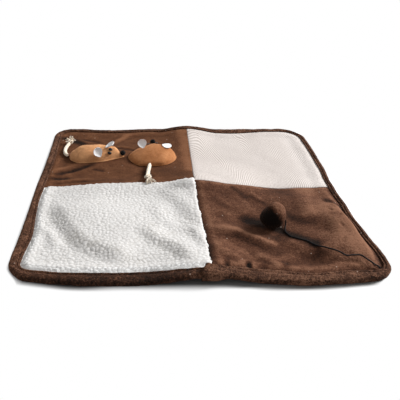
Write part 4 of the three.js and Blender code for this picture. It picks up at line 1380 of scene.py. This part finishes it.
def globe(rows, columns):
    """Unit directions and faces of a ball with its poles closed."""
    tilt = np.linspace(0, np.pi, rows + 1)[1:-1, None]
    turn = np.linspace(0, 2 * np.pi, columns, endpoint=False)[None, :]
    ring = np.stack(np.broadcast_arrays(
        np.sin(tilt) * np.cos(turn), np.sin(tilt) * np.sin(turn), np.cos(tilt)
    ), -1)
    index = np.arange((rows - 1) * columns).reshape(rows - 1, columns)
    faces = np.roll(quads(index, closed=True)[:, ::-1], 1, axis=1).tolist()
    after = np.roll(index, -1, axis=1)
    faces += [[index.size, int(u), int(v)] for u, v in zip(index[0], after[0])]
    faces += [[index.size + 1, int(v), int(u)] for u, v in zip(index[-1], after[-1])]
    return np.concatenate([ring.reshape(-1, 3), [[0, 0, 1], [0, 0, -1]]]), faces


NOSE_RADIUS = 4.9
NOSE_YARNS = 620
YARN_LENGTH, YARN_RADIUS, YARN_DROOP = 1.2, 0.17, 0.35


def add_nose(name):
    """A black pompom: a clumpy ball with its cut yarn ends standing out."""
    directions, faces = globe(24, 36)
    clumps = noise(directions * 10, 3.2, 36) * 0.35
    ball = directions * (NOSE_RADIUS - 0.7 + clumps)[:, None]
    ends = scattered_directions(NOSE_YARNS, 37)
    tufts = hairs(ends * (NOSE_RADIUS - 0.8), ends, YARN_LENGTH, YARN_RADIUS, YARN_DROOP, 38)
    points, faces = joined([(ball, faces), *tufts])
    nose = f"{name}_nose"
    add_piece(f"{name}_pompom", "pompom", nose, points + middle(nose), faces)


# ---- Rope tails ----

ROPE_RADIUS = 3.4
TWIST = 15  # length of one turn of the rope
KNOT_ROPE_RADIUS, KNOT_TWIST = 2.3, 10.5  # of the rope drawn tight in the knot
# How far the strands of a rope lie out and how thick they are, as shares of its radius.
STRAND_OUT, STRAND_THICK = 0.48, 0.55
STRANDS = 9  # frayed strands at the end
YARN_THICK = 0.62  # radius of one of the three yarns of a frayed strand
SHORTER = 0.86  # every second strand against the others
TAILS = {
    "mouse_1_tail": (
        (-211.5, 121.5, 9.1), (-214.4, 123.8, 9.1), (-217.6, 131.5, 9.1), (-219.3, 143, 9.2),
        (-218.6, 155, 9.2), (-216.6, 165, 9.4), (-214.9, 171.5, 10.1),
    ),
    "mouse_2_tail": (
        (-60.2, 79.7, 9.7), (-61, 70, 10.2), (-62, 60, 10.9), (-63, 50, 11.8),
        (-63.6, 40, 13), (-64, 30, 15), (-64, 22.6, 16.9),
    ),
}
KNOTS = {
    "mouse_1_tail": dict(
        at=(-213.6, 177.6, 11.6), size=5.8, ends=(-213.4, 179.5, 13.4), facing=80, spread=290,
        reach=9.5, low=2, high=42,
    ),
    "mouse_2_tail": dict(
        at=(-63.8, 15.6, 19), size=6.6, ends=(-62.8, 7, 21.2), facing=-76, spread=66,
        reach=15, low=0, high=10,
    ),
}

# The elastic's plan position and its clearance over the cloth.
ELASTIC = (
    (135.3, -117, 10.4), (135.9, -118.6, 7.1), (135.6, -120.6, 3.6), (134.4, -124.2, 1.2),
    (133, -133.9, 0.3), (135, -143.1, 0.1), (138.4, -149.4, 0.1), (144.3, -154.1, 0.1),
    (151.2, -159.3, 0.1), (157.2, -164, 0.1), (164.6, -174.7, 0.1), (174.9, -184.8, 0.1),
    (186.1, -192.7, 0.1), (191.6, -197, 0.1), (196.5, -201.6, 0.1), (203.5, -201.8, 0.1),
    (210.1, -201.7, 0.1), (216.3, -202.9, 0.1), (222.4, -209.6, 0.1), (228.7, -215.5, 0.1),
    (233, -217.3, 0.1), (236.4, -219.4, 0.3),
)


def rope(line, radius, twist):
    """Three twisted strands along a line."""
    across, up = frames_along(line)
    strands = []
    for k in range(3):
        turn = (2 * np.pi * (distances(line) / twist + k / 3))[:, None]
        offset = STRAND_OUT * radius * (np.cos(turn) * across + np.sin(turn) * up)
        strands.append(tube(line + offset, STRAND_THICK * radius, 14))
    return joined(strands)


def knot_line(knot):
    """A closed overhand knot drawn tight."""
    t = np.linspace(0, 2 * np.pi, 110)
    spread = (2 + np.cos(3 * t)) * knot["size"] * 0.22
    loop = np.stack([
        spread * np.cos(2 * t), 1.1 * spread * np.sin(2 * t), np.sin(3 * t) * knot["size"] * 0.3
    ], -1)
    turn = np.array(Matrix.Rotation(math.radians(knot["facing"] - 90), 3, "Z"))
    return loop @ turn.T + np.array(knot["at"])


def knotted(knot, seed):
    """A knot of rope and the frayed strands of its end."""
    rng = np.random.default_rng(seed)
    parts = [rope(knot_line(knot), KNOT_ROPE_RADIUS, KNOT_TWIST)]
    for k in range(STRANDS):
        share = k / (STRANDS - 1) - 0.5
        angle = math.radians(knot["facing"] + share * knot["spread"])
        tilt = math.radians(knot["high"] if k % 2 else knot["low"])
        direction = np.array([
            math.cos(angle) * math.cos(tilt), math.sin(angle) * math.cos(tilt), math.sin(tilt)
        ])
        reach = knot["reach"] * (SHORTER if k % 2 else 1) + 1
        side = unit(np.cross(direction, (0, 0, 1)))
        up = np.cross(side, direction)
        sway, drop = rng.normal(0, 0.16), rng.uniform(0.02, 0.14)
        t = np.linspace(0, 1, 12)[:, None]
        opening = 0.45 + 0.75 * t ** 3
        for j in range(3):
            turn = 2 * np.pi * (1.2 * t + j / 3) + k
            line = (
                np.array(knot["ends"]) + direction * (t * reach * rng.uniform(0.9, 1.06))
                + side * (sway * reach * t ** 2 + opening * np.cos(turn))
                + up * (-drop * reach * t ** 2 + opening * np.sin(turn))
            )
            parts.append(tube(line, YARN_THICK * (1 - 0.45 * t[:, 0] ** 2), 8))
    return joined(parts)


def add_tail(name, seed):
    label = f"{name}_tail"
    line = route_through(TAILS[label], 0.8)
    tail = add_piece(f"{name}_rope", "rope", label, *rope(line, ROPE_RADIUS, TWIST))
    knot = add_piece(f"{name}_rope_knot", "rope", f"{label}_knot", *knotted(KNOTS[label], seed))


# ---- The ball and its elastic ----

BALL_X, BALL_Y = 116, -117
BALL_RADIUS, BALL_TALL = 19, 20.4
GORES = 4  # panels of the ball's cover
GORE_DIP, GORE_TURN = 0.02, 0.35  # depth of the seams between them, and where the first lies
SLANT = 0.3  # how much is missing at the upper left
SAG = 0.09  # how much hangs out at the lower left
LEFTWARDS = 1.41  # greatest length of the slanting direction


def add_ball():
    """A stuffed ball of plush gores, slanted at its upper left and sagging at its lower left."""
    directions, faces = globe(72, 120)
    x, y, z = directions.T
    seam = np.abs(np.sin(GORES / 2 * (np.arctan2(y, x) - GORE_TURN)))
    dip = 1 - GORE_DIP * (1 - seam) ** 8 * smooth(np.hypot(x, y) * 3)
    rear = z * 0.86 + y * 0.5
    upper_left, lower_left = (np.clip((side - x) / LEFTWARDS, 0, 1) for side in (rear, -rear))
    slant = 1 - SLANT * upper_left ** 3 + SAG * lower_left ** 2 * smooth((z + 0.7) / 0.6)
    lumps = 1 + layered(directions * 10, (7, 41, 0.02), (2.4, 42, 0.01))
    points = directions * (dip * lumps * slant)[:, None] * (BALL_RADIUS, BALL_RADIUS, BALL_TALL)
    angles = np.linspace(0, 2 * np.pi, 13)
    beneath = [
        cloth_at("plush", BALL_X + reach * np.cos(angles), BALL_Y + reach * np.sin(angles))
        - BALL_TALL * (1 - math.sqrt(1 - (reach / BALL_RADIUS) ** 2))
        for reach in (0, 4, 8, 12)
    ]
    # Painted light on the ball's top and lit right side, and painted shade on its lower left, away
    # from the lamp.
    lit = smooth((x * 0.75 + y * 0.35 + z * 0.55 + 0.35) / 0.7)
    piece = add_piece(
        "plush_ball", "plush", "toy_ball",
        points + (BALL_X, BALL_Y, np.max(beneath) + GAP + BALL_TALL), faces,
        shades={"crest": z * 0.3, "nap": np.maximum(lit * 0.85 - 0.85, rear * 0.45 - 0.7)},
    )
    return piece


ELASTIC_RADIUS = 1


def add_elastic(ball):
    line = laid_on("plush", route_through(ELASTIC, 1)[::-1], ELASTIC_RADIUS)
    piece = add_piece("elastic", "elastic", "elastic_cord", *tube(line, ELASTIC_RADIUS, 12))


# ---- The whole mat ----

for panel_name in PANELS:
    add_panel(panel_name)
add_binding()
for mouse_name, mouse_row in MICE.items():
    add_body(mouse_name, mouse_row)
    for ear_name, ear_row in mouse_row["ears"].items():
        add_ear(mouse_name, mouse_row, ear_name, *ear_row)
    for eye_name, eye_place in mouse_row["eyes"].items():
        add_eye(mouse_name, mouse_row, eye_name, *eye_place)
    add_nose(mouse_name)
add_tail("mouse_1", seed=51)
add_tail("mouse_2", seed=52)
add_elastic(add_ball())

bpy.ops.mesh.primitive_plane_add(size=20)  # metres
floor = bpy.context.object
floor.name = "floor"
floor.data.materials.append(FINISHES["floor"])
